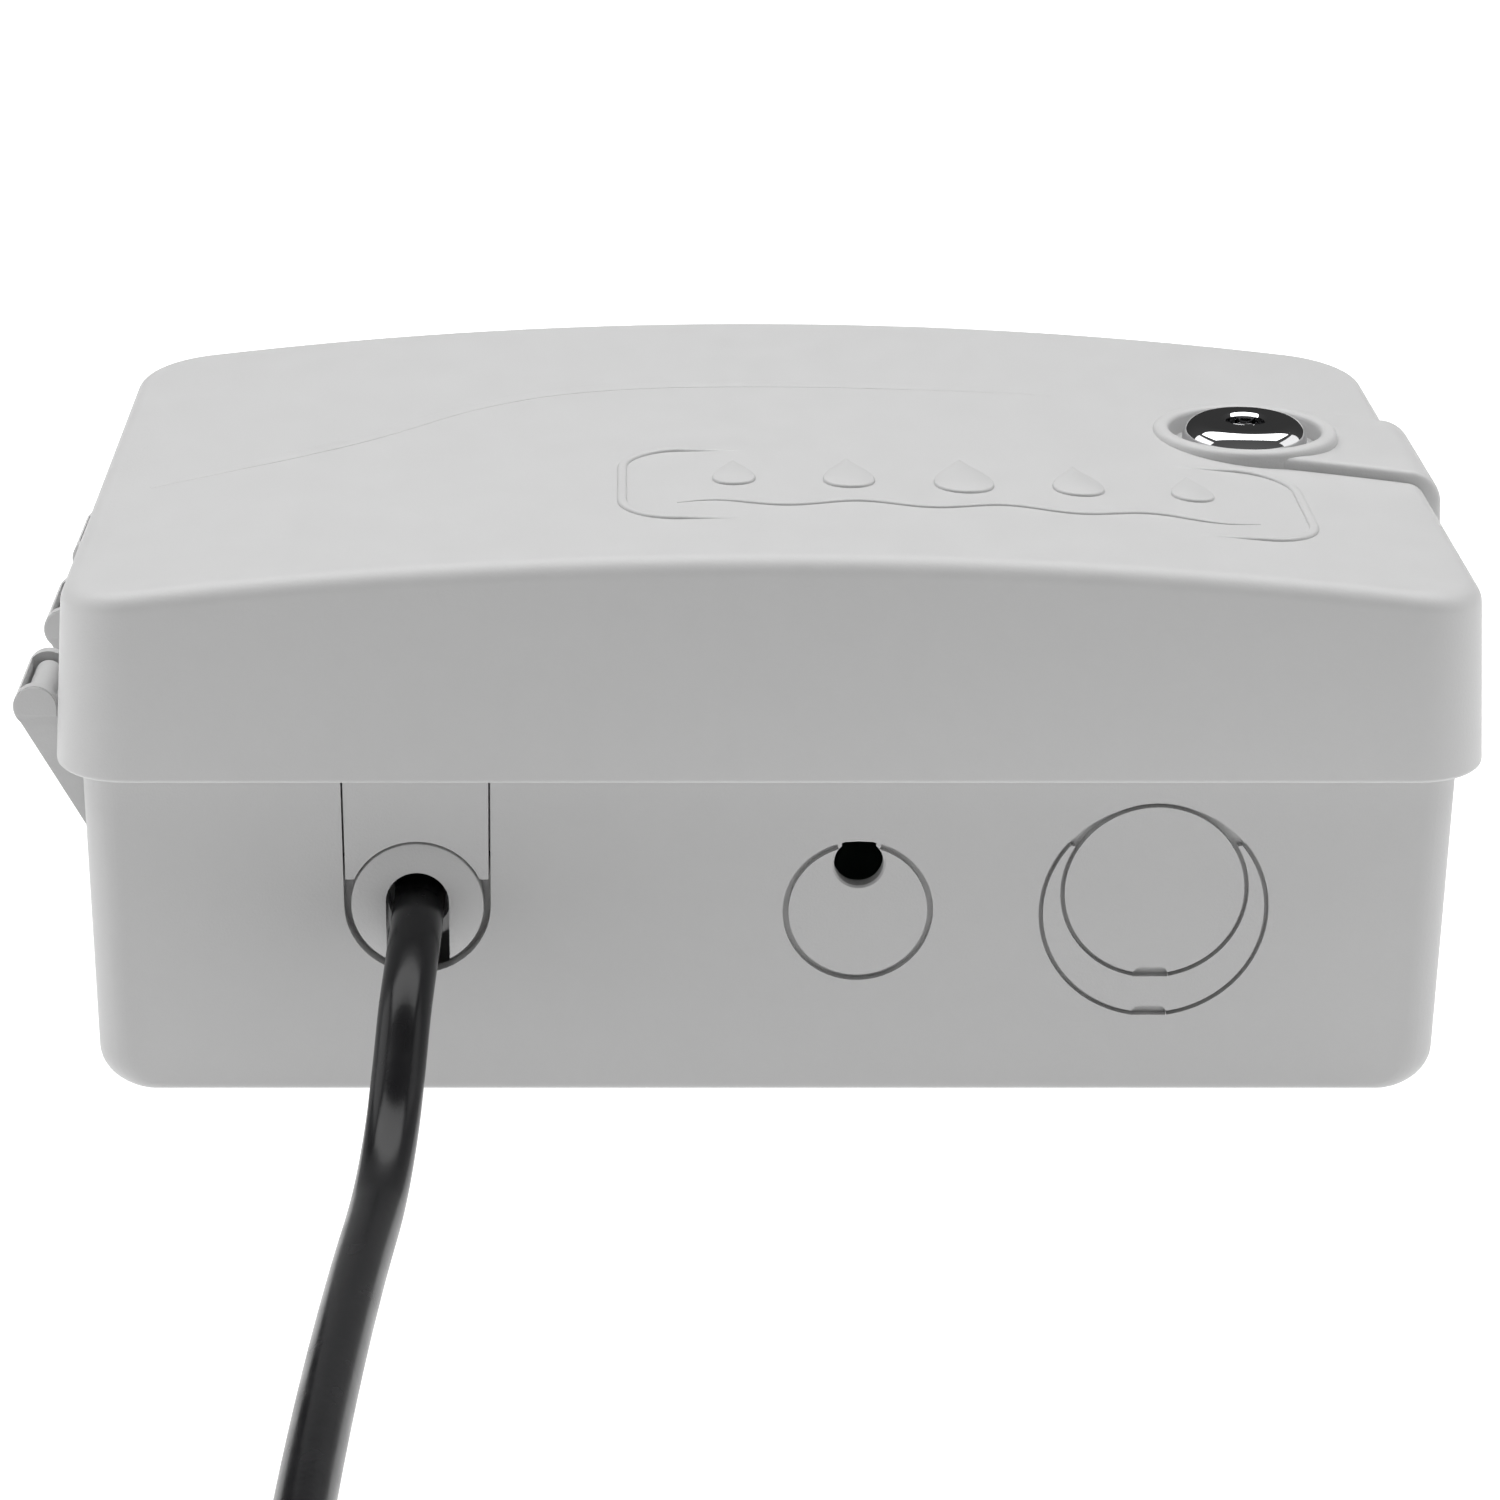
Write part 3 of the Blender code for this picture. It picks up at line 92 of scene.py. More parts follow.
def make_floor():
    """A white ground that glows, so that it reads as white and still catches faint light."""
    bm = bmesh.new()
    bmesh.ops.create_grid(bm, x_segments=1, y_segments=1, size=FLOOR_HALF)
    mesh = bpy.data.meshes.new("floor")
    bm.to_mesh(mesh)
    bm.free()
    floor = bpy.data.objects.new("floor", mesh)
    scene.collection.objects.link(floor)
    floor.location.z = -FLOOR_DROP
    material = bpy.data.materials.new("floor_white")
    material.use_nodes = True
    put(material.node_tree.nodes["Principled BSDF"], {
        "Base Color": (FLOOR_ALBEDO, FLOOR_ALBEDO, FLOOR_ALBEDO, 1.0), "Roughness": 0.9,
        "Specular IOR Level": 0.1, "Emission Color": WHITE, "Emission Strength": FLOOR_GLOW,
    })
    mesh.materials.append(material)


def make_light(name, location, target, size, power):
    data = bpy.data.lights.new(name, "AREA")
    data.shape = "RECTANGLE"
    data.size, data.size_y = size
    data.energy = power
    light = bpy.data.objects.new(name, data)
    scene.collection.objects.link(light)
    light.location = location
    light.rotation_euler = (Vector(target) - Vector(location)).to_track_quat("-Z", "Y").to_euler()


def make_world():
    """A white room that is darker behind the object than in front of it."""
    world = bpy.data.worlds.new("studio")
    scene.world = world
    world.use_nodes = True
    nodes, links = world.node_tree.nodes, world.node_tree.links
    background = nodes["Background"]
    put(background, {"Color": WHITE})
    direction = nodes.new("ShaderNodeTexCoord")
    split = nodes.new("ShaderNodeSeparateXYZ")
    links.new(direction.outputs["Generated"], split.inputs["Vector"])
    fade = map_range(nodes, links, split.outputs["Y"], WORLD_FRONT, WORLD_BEHIND, -1.0, 1.0)
    links.new(fade, background.inputs["Strength"])


make_floor()
make_light("softbox_top", (0.0, 0.2, 1.5), (0, 0, 0), (3.0, 1.25), 39.0)
make_light("strip_left", (-1.5, 0.1, 0.55), (0, 0, 0.05), (1.2, 0.9), 5.0)
make_light("strip_right", (1.5, 0.1, 0.55), (0, 0, 0.05), (1.2, 0.9), 3.5)
make_world()


# ---------------------------------------------------------------- mesh helpers


def attach(piece, body, *replaced, slot=None):
    """Lets a piece ride on a body and stand for CAD nodes. The slot argument is not used."""
    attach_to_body(piece, body)
    if replaced:
        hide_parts(*replaced)


def finish_mesh(name, bm, material=None, body=None, slot=None, smooth=35, matrix=None):
    """Turns a bmesh in case millimetres into a piece, which rides on the body if one is given."""
    bmesh.ops.recalc_face_normals(bm, faces=bm.faces)
    if matrix is not None:
        bm.transform(matrix)
    bm.transform(Matrix.Scale(MM, 4) @ Matrix.Translation(DATUM))
    mesh = bpy.data.meshes.new(name)
    bm.to_mesh(mesh)
    bm.free()
    piece = bpy.data.objects.new(name, mesh)
    scene.collection.objects.link(piece)
    if smooth:
        mesh.shade_smooth()
        mesh.set_sharp_from_angle(angle=math.radians(smooth))
    if material:
        mesh.materials.append(material)
    if body:
        attach(piece, body, slot=slot)
    return piece


def helper(name, bm, matrix=None):
    return finish_mesh(name, bm, smooth=0, matrix=matrix)


def carve(piece, operations, smooth=35):
    """Applies Booleans in order: pairs of an operation and a helper mesh."""
    for index, (operation, other) in enumerate(operations):
        modifier = piece.modifiers.new(f"cut_{index}", "BOOLEAN")
        modifier.operation = operation
        modifier.object = other
        modifier.solver = "EXACT"
    bpy.context.view_layer.update()
    graph = bpy.context.evaluated_depsgraph_get()
    result = bpy.data.meshes.new_from_object(piece.evaluated_get(graph), depsgraph=graph)
    piece.modifiers.clear()
    old = piece.data
    piece.data = result
    bpy.data.meshes.remove(old)
    for _, other in operations:
        if other.name in bpy.data.objects:
            bpy.data.objects.remove(other, do_unlink=True)
    if smooth:
        result.shade_smooth()
        result.set_sharp_from_angle(angle=math.radians(smooth))


def cut(piece, tools, smooth=35):
    carve(piece, [("DIFFERENCE", tool) for tool in tools], smooth)


def soften(piece, width, segments=2):
    """Rounds the sharp edges of a piece."""
    bevel = piece.modifiers.new("round", "BEVEL")
    bevel.width = width * MM
    bevel.segments = segments
    bevel.limit_method = "ANGLE"
    bevel.angle_limit = math.radians(30)
    bevel.use_clamp_overlap = True
    bevel.harden_normals = True


def arc(centre, radius, start, end, steps):
    angles = [math.radians(start + (end - start) * i / steps) for i in range(steps + 1)]
    return [(centre[0] + radius * math.cos(a), centre[1] + radius * math.sin(a)) for a in angles]


def rounded_rectangle(x0, x1, y0, y1, radius, steps=8):
    return (
        arc((x1 - radius, y1 - radius), radius, 0, 90, steps)
        + arc((x0 + radius, y1 - radius), radius, 90, 180, steps)
        + arc((x0 + radius, y0 + radius), radius, 180, 270, steps)
        + arc((x1 - radius, y0 + radius), radius, 270, 360, steps)
    )


def centred_rectangle(x, y, half_x, half_y, radius, steps=8):
    return rounded_rectangle(x - half_x, x + half_x, y - half_y, y + half_y, radius, steps)


def join_rows(bm, rows):
    """Faces between each closed row of vertices and the next."""
    count = len(rows[0])
    for lower, upper in zip(rows, rows[1:]):
        for i in range(count):
            j = (i + 1) % count
            bm.faces.new((lower[i], lower[j], upper[j], upper[i]))


def loft(bm, rings, capped=True):
    rows = [[bm.verts.new(point) for point in ring] for ring in rings]
    join_rows(bm, rows)
    if capped:
        bm.faces.new(list(reversed(rows[0])))
        bm.faces.new(rows[-1])
    return rows


def endless_loft(bm, rings):
    """Rings joined one after the other, and the last one to the first."""
    rows = [[bm.verts.new(point) for point in ring] for ring in rings]
    join_rows(bm, rows + rows[:1])


def loft_piece(name, rings, material=None, body=None, slot=None, smooth=35, skin=loft):
    bm = bmesh.new()
    skin(bm, rings)
    return finish_mesh(name, bm, material, body, slot, smooth)


def level(outline, z):
    return [(x, y, z) for x, y in outline]


def prism(bm, outline, low, high, axes="xy"):
    """An outline in the plane of `axes`, pushed out along the third axis."""
    def turned(a, b, c):
        return {"xy": (a, b, c), "xz": (a, c, b), "yz": (c, a, b)}[axes]

    loft(bm, [[turned(a, b, low) for a, b in outline], [turned(a, b, high) for a, b in outline]])


def prism_piece(name, outline, low, high, axes, material=None, body=None, slot=None, smooth=35):
    bm = bmesh.new()
    prism(bm, outline, low, high, axes)
    return finish_mesh(name, bm, material, body, slot, smooth)


def prism_helper(name, outline, low, high, axes="xy"):
    return prism_piece(name, outline, low, high, axes, smooth=0)


def box_outline(x0, x1, y0, y1):
    return [(x0, y0), (x1, y0), (x1, y1), (x0, y1)]


def box_helper(name, x0, x1, y0, y1, low, high, axes="xy"):
    return prism_helper(name, box_outline(x0, x1, y0, y1), low, high, axes)


def spin(bm, profile, steps=64):
    """A profile of (radius, height) turned about Z. Points on the axis are shared."""
    rings = []
    for radius, height in profile:
        if radius < 1e-6:
            rings.append([bm.verts.new((0.0, 0.0, height))])
            continue
        angles = [2 * math.pi * i / steps for i in range(steps)]
        rings.append([bm.verts.new((radius * math.cos(a), radius * math.sin(a), height)) for a in angles])
    pairs = list(zip(rings, rings[1:]))
    if len(rings[0]) > 1 and len(rings[-1]) > 1:
        pairs.append((rings[-1], rings[0]))
    for a, b in pairs:
        for i in range(steps):
            j = (i + 1) % steps
            corners = [a[i % len(a)], a[j % len(a)], b[j % len(b)], b[i % len(b)]]
            corners = [v for k, v in enumerate(corners) if v not in corners[:k]]
            if len(corners) > 2:
                bm.faces.new(corners)


def placed(x, y, z, turn_x=0, turn_y=0):
    """A place and a turn about X or Y, in degrees."""
    turned = Matrix.Rotation(math.radians(turn_y), 4, "Y") @ Matrix.Rotation(math.radians(turn_x), 4, "X")
    return Matrix.Translation((x, y, z)) @ turned


def spun_piece(name, profile, place, material=None, body=None, slot=None, steps=64, smooth=35):
    bm = bmesh.new()
    spin(bm, profile, steps)
    return finish_mesh(name, bm, material, body, slot, smooth, place)


def spun_helper(name, profile, place, steps=64):
    return spun_piece(name, profile, place, steps=steps, smooth=0)


def drill(name, radius, high, low, place, steps=64):
    """A plain cylinder to cut with."""
    return spun_helper(name, [(0, high), (radius, high), (radius, low), (0, low)], place, steps)


def smooth_route(points, per_span):
    """A Catmull-Rom line through points."""
    inner = [Vector(p) for p in points]
    knots = [inner[0] * 2 - inner[1]] + inner + [inner[-1] * 2 - inner[-2]]
    route = []
    for a, b, c, d in zip(knots, knots[1:], knots[2:], knots[3:]):
        for step in range(per_span):
            t = step / per_span
            bend, twist = a * 2 - b * 5 + c * 4 - d, b * 3 - a - c * 3 + d
            route.append((b * 2 + (c - a) * t + bend * t * t + twist * t * t * t) / 2)
    return route + [inner[-1]]


def tube_curve(name, points, radius, material, sides=12):
    curve = bpy.data.curves.new(name, "CURVE")
    curve.dimensions = "3D"
    curve.bevel_depth = radius * MM
    curve.bevel_resolution = sides
    curve.use_fill_caps = True
    spline = curve.splines.new("POLY")
    spline.points.add(len(points) - 1)
    for point, place in zip(spline.points, points):
        point.co = (*at(place), 1.0)
    spline.use_smooth = True
    curve.materials.append(material)
    piece = bpy.data.objects.new(name, curve)
    scene.collection.objects.link(piece)
    return piece


# ---------------------------------------------------------------- materials


def procedural(
    name, colour, roughness, metallic=0.0, mottle=0.03, mottle_size=6.0, grain=0.02, grain_size=0.6,
    rough_change=0.06, stretch=(1, 1, 1), sockets={}, second=None, second_share=(0.62, 0.7),
):
    """A material with mottled colour, changing roughness and a fine grain. Sizes in millimetres."""
    material = bpy.data.materials.new(name)
    material.use_nodes = True
    nodes, links = material.node_tree.nodes, material.node_tree.links
    shader = nodes["Principled BSDF"]
    place = nodes.new("ShaderNodeTexCoord")
    mapping = nodes.new("ShaderNodeMapping")
    put(mapping, {"Scale": stretch})
    links.new(place.outputs["Object"], mapping.inputs["Vector"])

    def noise(size, detail=2.0):
        node = nodes.new("ShaderNodeTexNoise")
        put(node, {"Scale": 1000.0 / size, "Detail": detail})
        links.new(mapping.outputs["Vector"], node.inputs["Vector"])
        return node

    def change(source, low=0.0, high=1.0, share=(0.3, 0.7)):
        return map_range(nodes, links, source.outputs["Fac"], low, high, *share)

    def mix(factor, colour_b):
        node = nodes.new("ShaderNodeMix")
        node.data_type = "RGBA"
        links.new(factor, node.inputs["Factor"])
        put(node, {"B": (*colour_b, 1.0)})
        links.new(node.outputs["Result"], shader.inputs["Base Color"])
        return node

    coarse = noise(mottle_size, 3.0)
    tone = mix(change(coarse), [min(1.0, c * (1 + mottle)) for c in colour])
    put(tone, {"A": (*[c * (1 - mottle) for c in colour], 1.0)})
    if second:
        worn = mix(change(noise(mottle_size * 0.35, 4.0), share=second_share), second)
        links.new(tone.outputs["Result"], worn.inputs["A"])
    smoothest, roughest = max(0.02, roughness - rough_change), min(1.0, roughness + rough_change)
    links.new(change(coarse, smoothest, roughest), shader.inputs["Roughness"])
    if grain:
        fine = noise(grain_size, 2.0)
        bump = nodes.new("ShaderNodeBump")
        put(bump, {"Strength": 1.0, "Distance": grain * MM})
        links.new(fine.outputs["Fac"], bump.inputs["Height"])
        links.new(bump.outputs["Normal"], shader.inputs["Normal"])
    put(shader, {"Metallic": metallic, **sockets})
    return material


SHELL = procedural(
    "shell_grey", (0.56, 0.56, 0.56), 0.5, grain=0.035, grain_size=0.45, mottle=0.008, rough_change=0.03,
)
PANEL = procedural("panel_grey", (0.30, 0.31, 0.32), 0.55, grain=0.03, grain_size=0.5)
BLACK = procedural("black_plastic", (0.028, 0.028, 0.03), 0.42, grain=0.02, grain_size=0.5)
KNOB = procedural("knob_plastic", (0.045, 0.045, 0.05), 0.34, grain=0.01, grain_size=0.4)
KEY = procedural("key_rubber", (0.42, 0.44, 0.45), 0.68, grain=0.02, grain_size=0.4)
SEAL = procedural("seal_rubber", (0.035, 0.035, 0.035), 0.85, grain=0.06, grain_size=0.5, mottle=0.2)
JACKET = procedural(
    "cord_black", (0.008, 0.008, 0.009), 0.24, grain=0.012, grain_size=1.1, mottle=0.15, rough_change=0.04,
    sockets={"Specular IOR Level": 0.3},
)
STEEL = procedural("steel", (0.62, 0.62, 0.61), 0.32, metallic=1.0, grain=0.006, grain_size=0.5, mottle=0.06)
CHROME = procedural(
    "chrome", (0.76, 0.76, 0.77), 0.045, metallic=1.0, grain=0.0, mottle=0.01, rough_change=0.02,
)
BRASS = procedural("brass", (0.72, 0.56, 0.30), 0.28, metallic=1.0, grain=0.004, mottle=0.06)
PRINT_WHITE = procedural("print_white", (0.78, 0.79, 0.79), 0.6, grain=0.0, mottle=0.03)
PRINT_DARK = procedural("print_dark", (0.05, 0.055, 0.06), 0.6, grain=0.0, mottle=0.05)
CORE = procedural(
    "core_steel", (0.26, 0.26, 0.27), 0.5, metallic=0.8, mottle=0.25, mottle_size=3.0, grain=0.09,
    grain_size=0.7, stretch=(0.02, 1.0, 0.02), second=(0.20, 0.09, 0.04),
)
TAPE = procedural("coil_tape", (0.72, 0.56, 0.10), 0.35, grain=0.03, grain_size=1.2, stretch=(0.1, 0.1, 1.0))
WIRE_RED, WIRE_BLUE, WIRE_BROWN, WIRE_GREEN = [
    procedural(f"wire_{name}", colour, 0.4, mottle=0.08, grain=0.01)
    for name, colour in (
        ("red", (0.45, 0.04, 0.03)), ("blue", (0.03, 0.10, 0.42)), ("brown", (0.20, 0.08, 0.04)),
        ("green", (0.08, 0.34, 0.06)),
    )
]
BOARD = procedural(
    "board_green", (0.02, 0.12, 0.05), 0.32, mottle=0.12, mottle_size=2.0, grain=0.05, grain_size=1.4,
    second=(0.035, 0.20, 0.085), second_share=(0.5, 0.53),
)
TERMINAL = procedural("terminal_green", (0.04, 0.26, 0.11), 0.45, mottle=0.05)
CHIP = procedural("chip_black", (0.02, 0.02, 0.022), 0.55, mottle=0.1, grain=0.02, grain_size=0.3)
CERAMIC = procedural("ceramic_tan", (0.46, 0.36, 0.22), 0.5, mottle=0.1, grain=0.02)
LCD = procedural("lcd_glass", (0.33, 0.39, 0.30), 0.14, mottle=0.03, mottle_size=20.0, grain=0.0)
CLEAR = procedural(
    "clear_window", (0.93, 0.95, 0.95), 0.07, mottle=0.01, grain=0.0, rough_change=0.02,
    sockets={"Transmission Weight": 1.0, "IOR": 1.49},
)


# ---------------------------------------------------------------- lid


LID_HALF, LID_DRAFT, LID_NEAR, LID_FAR, LID_CROWN = 109.0, 1.3 / 27.9, -4.8, 130.0, 88.2
ARCH, RISE, RIM_Z = 794.0, 1.7 / 125.4, 53.0
LID_CORNER, LID_WALL = 12.0, 2.3
LOCK_X, LOCK_Y, LOCK_RECESS = 79.9, 69.5, 13.3


def lid_top(x, y):
    return LID_CROWN - x * x / (2 * ARCH) + RISE * y


LOCK_Z = lid_top(LOCK_X, LOCK_Y)
LOCK_FRAME = Matrix.Translation((LOCK_X, LOCK_Y, LOCK_Z))


def lid_half(grow, inset, z, columns, corner_steps):
    half = LID_HALF + grow - inset - LID_DRAFT * (z - RIM_Z)
    radius = max(LID_CORNER + grow - inset, 1.0)
    left = arc((-half + radius, radius), radius, 180, 270, corner_steps)
    right = arc((half - radius, radius), radius, 270, 360, corner_steps)
    span = half - radius
    return left + [(-span + 2 * span * i / columns, 0.0) for i in range(1, columns)] + right


def lid_rings(grow, edge, foot, columns=48, corner_steps=14, rolls=10):
    """Rings from the rim up to the top's edge. `foot` is the radius on the rim's outer corner."""
    middle = (LID_NEAR + LID_FAR) / 2
    levels = []
    if foot:
        for i in range(4):
            a = math.radians(90 * i / 3)
            levels.append(("rim", foot * (1 - math.sin(a)), RIM_Z + foot * (1 - math.cos(a))))
    else:
        levels.append(("rim", 0.0, RIM_Z))
    for i in range(rolls + 1):
        a = math.radians(90 * i / rolls)
        levels.append(("top", edge * (1 - math.cos(a)), edge * (1 - math.sin(a))))
    rings = []
    for kind, inset, value in levels:
        wall_z = value if kind == "rim" else LID_CROWN - 3.0
        near_y = LID_NEAR - grow + inset + LID_DRAFT * (wall_z - RIM_Z)
        near = lid_half(grow, inset, wall_z, columns, corner_steps)
        points = [(x, near_y + into) for x, into in near]
        points += [(x, 2 * middle - near_y - into) for x, into in reversed(near)]
        if kind == "rim":
            rings.append([(x, y, value) for x, y in points])
        else:
            rings.append([(x, y, lid_top(x, y) + grow - value) for x, y in points])
    return rings


def cap_between_sides(bm, row):
    count = len(row)
    for i in range(count // 2 - 1):
        bm.faces.new((row[i], row[i + 1], row[count - 2 - i], row[count - 1 - i]))


def make_lid_shell():
    bm = bmesh.new()
    outer = loft(bm, lid_rings(0.0, 3.0, 0.7), capped=False)
    inner = loft(bm, lid_rings(-LID_WALL, 0.8, 0.0), capped=False)
    cap_between_sides(bm, outer[-1])
    cap_between_sides(bm, inner[-1])
    join_rows(bm, [outer[0], inner[0]])
    lid = finish_mesh("lid_shell", bm, SHELL)
    cut(lid, [drill("lock_hole", LOCK_RECESS, 6, -9, LOCK_FRAME)])
    attach(lid, "lid", "lid")


def make_lock_seat():
    """The raised ring around the lock, its recess and the boss that the lock is bolted through."""
    profile = [
        (15.35, -2.6), (15.2, -1.0), (15.1, 0.6), (15.05, 1.2), (14.9, 1.75), (14.55, 2.1), (14.1, 2.2),
        (13.3, 2.2), (12.8, 2.1), (12.5, 1.8), (12.4, 1.3), (12.4, -1.2), (12.1, -1.5), (8.3, -1.5),
        (8.3, -5.0), (13.0, -5.0), (15.3, -3.6),
    ]
    spun_piece("lid_lock_seat", profile, LOCK_FRAME, SHELL, "lid", steps=96, smooth=40)


STRAP_SIDE_GROWTH = 0.35
STRAP_FOOT_X = 108.9
CORNER_X, CORNER_RADIUS = 107.5, 3.0


def strap_ring(y, height):
    """One slice of the strap, over the lid's top, round its corner and down its right side."""
    grown = max(height, 0.0) * STRAP_SIDE_GROWTH
    ring = []
    for i in range(10):
        x = LOCK_X + (CORNER_X - CORNER_RADIUS - LOCK_X) * i / 10
        slope = x / ARCH
        length = math.hypot(1, slope)
        ring.append((x + height * slope / length, y, lid_top(x, y) + height / length))
    for i in range(13):
        a = math.radians(90 - 90 * i / 12)
        x = CORNER_X - CORNER_RADIUS * (1 - math.cos(a))
        z = lid_top(x, y) - CORNER_RADIUS * (1 - math.sin(a))
        up = height + grown * i / 12
        ring.append((x + up * math.cos(a), y, z + up * math.sin(a)))
    x, z = CORNER_X, lid_top(CORNER_X, y) - CORNER_RADIUS
    foot = RIM_Z + 0.05
    for i in range(1, 6):
        ring.append((x + (STRAP_FOOT_X - x) * i / 5 + height + grown, y, z + (foot - z) * i / 5))
    for i in range(5, -1, -1):
        ring.append((x + (STRAP_FOOT_X - x) * i / 5 - 0.6, y, z + (foot - z) * i / 5))
    ring.append((LOCK_X, y, lid_top(LOCK_X, y) - 0.7))
    return ring


def make_lock_strap():
    """The flat raised strap from the lock's ring over the lid's right edge."""
    section = [(55.0, -0.5), (55.0, 0.5), (55.03, 1.0), (55.15, 1.4), (55.4, 1.72), (55.8, 1.93), (56.3, 2.0)]
    rows = section + [(56.3 + 26.9 * i / 6, 2.0) for i in range(1, 6)]
    rows += [(2 * LOCK_Y + 0.5 - y, height) for y, height in reversed(section)]
    strap = loft_piece("lid_lock_strap", [strap_ring(y, height) for y, height in rows], SHELL, smooth=0)
    cut(strap, [drill("strap_opening", LOCK_RECESS, 8, -9, LOCK_FRAME)], 50)
    attach(strap, "lid")


def ridge(bm, path, half, height, closed=True, root=-0.25):
    """A raised line with rounded shoulders on the lid's top, along (x, y) points."""
    right = [(half * 0.45, height), (half * 0.8, height * 0.8), (half, height * 0.35), (half, root)]
    section = [(-across, up) for across, up in right[::-1]] + right
    count = len(path)
    rings = []
    for i, (x, y) in enumerate(path):
        before = path[(i - 1) % count] if closed or i else path[i]
        after = path[(i + 1) % count] if closed or i < count - 1 else path[i]
        along = Vector((after[0] - before[0], after[1] - before[1])).normalized()
        side = Vector((-along.y, along.x))
        taper = 1.0
        if not closed:
            taper = min(1.0, 0.25 + 0.75 * min(i, count - 1 - i) / (0.12 * count))
        ring = []
        for across, up in section:
            px, py = x + side.x * across * taper, y + side.y * across * taper
            ring.append((px, py, lid_top(px, py) + (up * taper if up > 0 else up)))
        rings.append(ring)
    (endless_loft if closed else loft)(bm, rings)


def raised_shape(bm, outline, height, shoulder=0.35, root=-0.25):
    """A raised flat shape on the lid's top with rounded shoulders."""
    centre = (sum(x for x, _ in outline) / len(outline), sum(y for _, y in outline) / len(outline))
    rings = []
    for pull, up in ((0.0, root), (0.0, height * 0.4), (0.3, height * 0.8), (1.0, height)):
        ring = []
        for x, y in outline:
            away = Vector((x - centre[0], y - centre[1]))
            scale = max(0.0, 1.0 - shoulder * pull / max(away.length, 0.5))
            px, py = centre[0] + away.x * scale, centre[1] + away.y * scale
            ring.append((px, py, lid_top(px, py) + up))
        rings.append(ring)
    loft(bm, rings)


def drop_outline(x, y, width, height, steps=26):
    """A water drop seen flat, with its point up."""
    points = []
    for i in range(steps):
        a = 2 * math.pi * i / steps
        px = math.sin(a) * (1 - math.cos(a)) ** 0.85 / 1.42
        points.append((x + px * width / 2, y + math.cos(a) * height / 2))
    return points


def make_emblem():
    """A plain raised badge: a rounded frame with five water drops and a wave."""
    bm = bmesh.new()
    ridge(bm, rounded_rectangle(-22.5, 84.5, 16.5, 51.0, 9.0, 10)[::-1], 0.75, 0.5)
    finish_mesh("lid_emblem_frame", bm, SHELL, "lid", smooth=50)
    bm = bmesh.new()
    for x, size in ((-5.0, 0.72), (13.0, 0.86), (31.0, 1.0), (49.0, 0.86), (67.0, 0.72)):
        raised_shape(bm, drop_outline(x, 38.5, 11.0 * size, 17.0 * size), 0.5)
    finish_mesh("lid_emblem_drops", bm, SHELL, "lid", smooth=50)
    bm = bmesh.new()
    wave = [(-14 + 90 * i / 90, 24.0 + 1.2 * math.sin(2 * math.pi * i / 22.5)) for i in range(91)]
    ridge(bm, wave, 0.7, 0.42, closed=False)
    finish_mesh("lid_emblem_wave", bm, SHELL, "lid", smooth=50)


def make_crease():
    """The faint moulded line that sweeps round behind the badge."""
    knots = [(-98, 50, 0), (-67, 64, 0), (-46, 80, 0), (-26, 87, 0), (7.5, 88, 0), (50, 87, 0)]
    path = [(p.x, p.y) for p in smooth_route(knots, 10)]
    bm = bmesh.new()
    ridge(bm, path, 1.6, 0.14, closed=False, root=-0.2)
    finish_mesh("lid_crease", bm, SHELL, "lid", smooth=60)


def ring_band(bm, outer, inner, z0, z1):
    """A closed band between two outlines with the same number of points."""
    endless_loft(bm, [level(outer, z0), level(outer, z1), level(inner, z1), level(inner, z0)])


def collar_outline(out, radius):
    """The rim of the base's collar, seen from above and moved outwards."""
    half, near, far = 102.1 + out, 2.7 - out, 122.7 + out
    return rounded_rectangle(-half, half, near, far, radius, 10)


def make_lid_inside():
    """The rib that holds the lid's seal, and the seal."""
    bm = bmesh.new()
    ring_band(bm, collar_outline(4.4, 5.0), collar_outline(-0.9, 3.0), 63.3, 65.1)
    finish_mesh("lid_seal_rib", bm, SHELL, "lid", smooth=40)
    section = [(1.5, 63.0), (1.5, 61.2), (1.1, 60.6), (0.3, 60.5), (-0.5, 60.6), (-0.9, 61.2), (-0.9, 63.0)]
    rings = [level(collar_outline(out, 4.0), z) for out, z in section]
    gasket = loft_piece("lid_gasket_strip", rings, SEAL, "lid", smooth=50, skin=endless_loft)
    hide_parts("lid_gasket")


HINGE_X, HINGE_Z = -112.55, 59.2
BRACKETS = ((12.0, 30.2), (48.7, 66.9), (86.0, 104.2))


def make_knuckles():
    for index, (y0, y1) in enumerate(BRACKETS, 1):
        inner0, inner1 = y0 + 2.3, y1 - 2.3
        middle, half = (inner0 + inner1) / 2, (inner1 - inner0) / 2
        top = [(1.3, half), (2.0, half), (2.2, half - 0.2)]
        profile = top + [(radius, -z) for radius, z in top[::-1]]
        spun_piece(
            f"lid_knuckle_{index}", profile, placed(HINGE_X, middle, HINGE_Z, 90), SHELL, "lid", steps=40,
        )
        arm = prism_piece(
            f"lid_knuckle_arm_{index}",
            [
                (HINGE_X + 1.2, HINGE_Z - 2.15), (-107.6, HINGE_Z - 2.15), (-107.6, HINGE_Z),
                (HINGE_X + 2.1, HINGE_Z - 0.1), (HINGE_X + 1.2, HINGE_Z - 0.1),
            ],
            inner0 + 0.05, inner1 - 0.05, "xz", SHELL, "lid",
        )
        soften(arm, 0.15, 2)


make_lid_shell()
make_lock_seat()
make_lock_strap()
make_emblem()
make_crease()
make_lid_inside()
make_knuckles()


# ---------------------------------------------------------------- base shell


GLAND_X, GLAND_Z = -53.9, 31.2
CORD_Z = 29.5
WALL, BASE_DEPTH = 2.5, 125.4
COLLAR_TOP = 60.0
PANEL_SCREWS = ((-93.5, 46.0), (-93.5, 113.5), (93.5, 46.0), (93.5, 113.5))


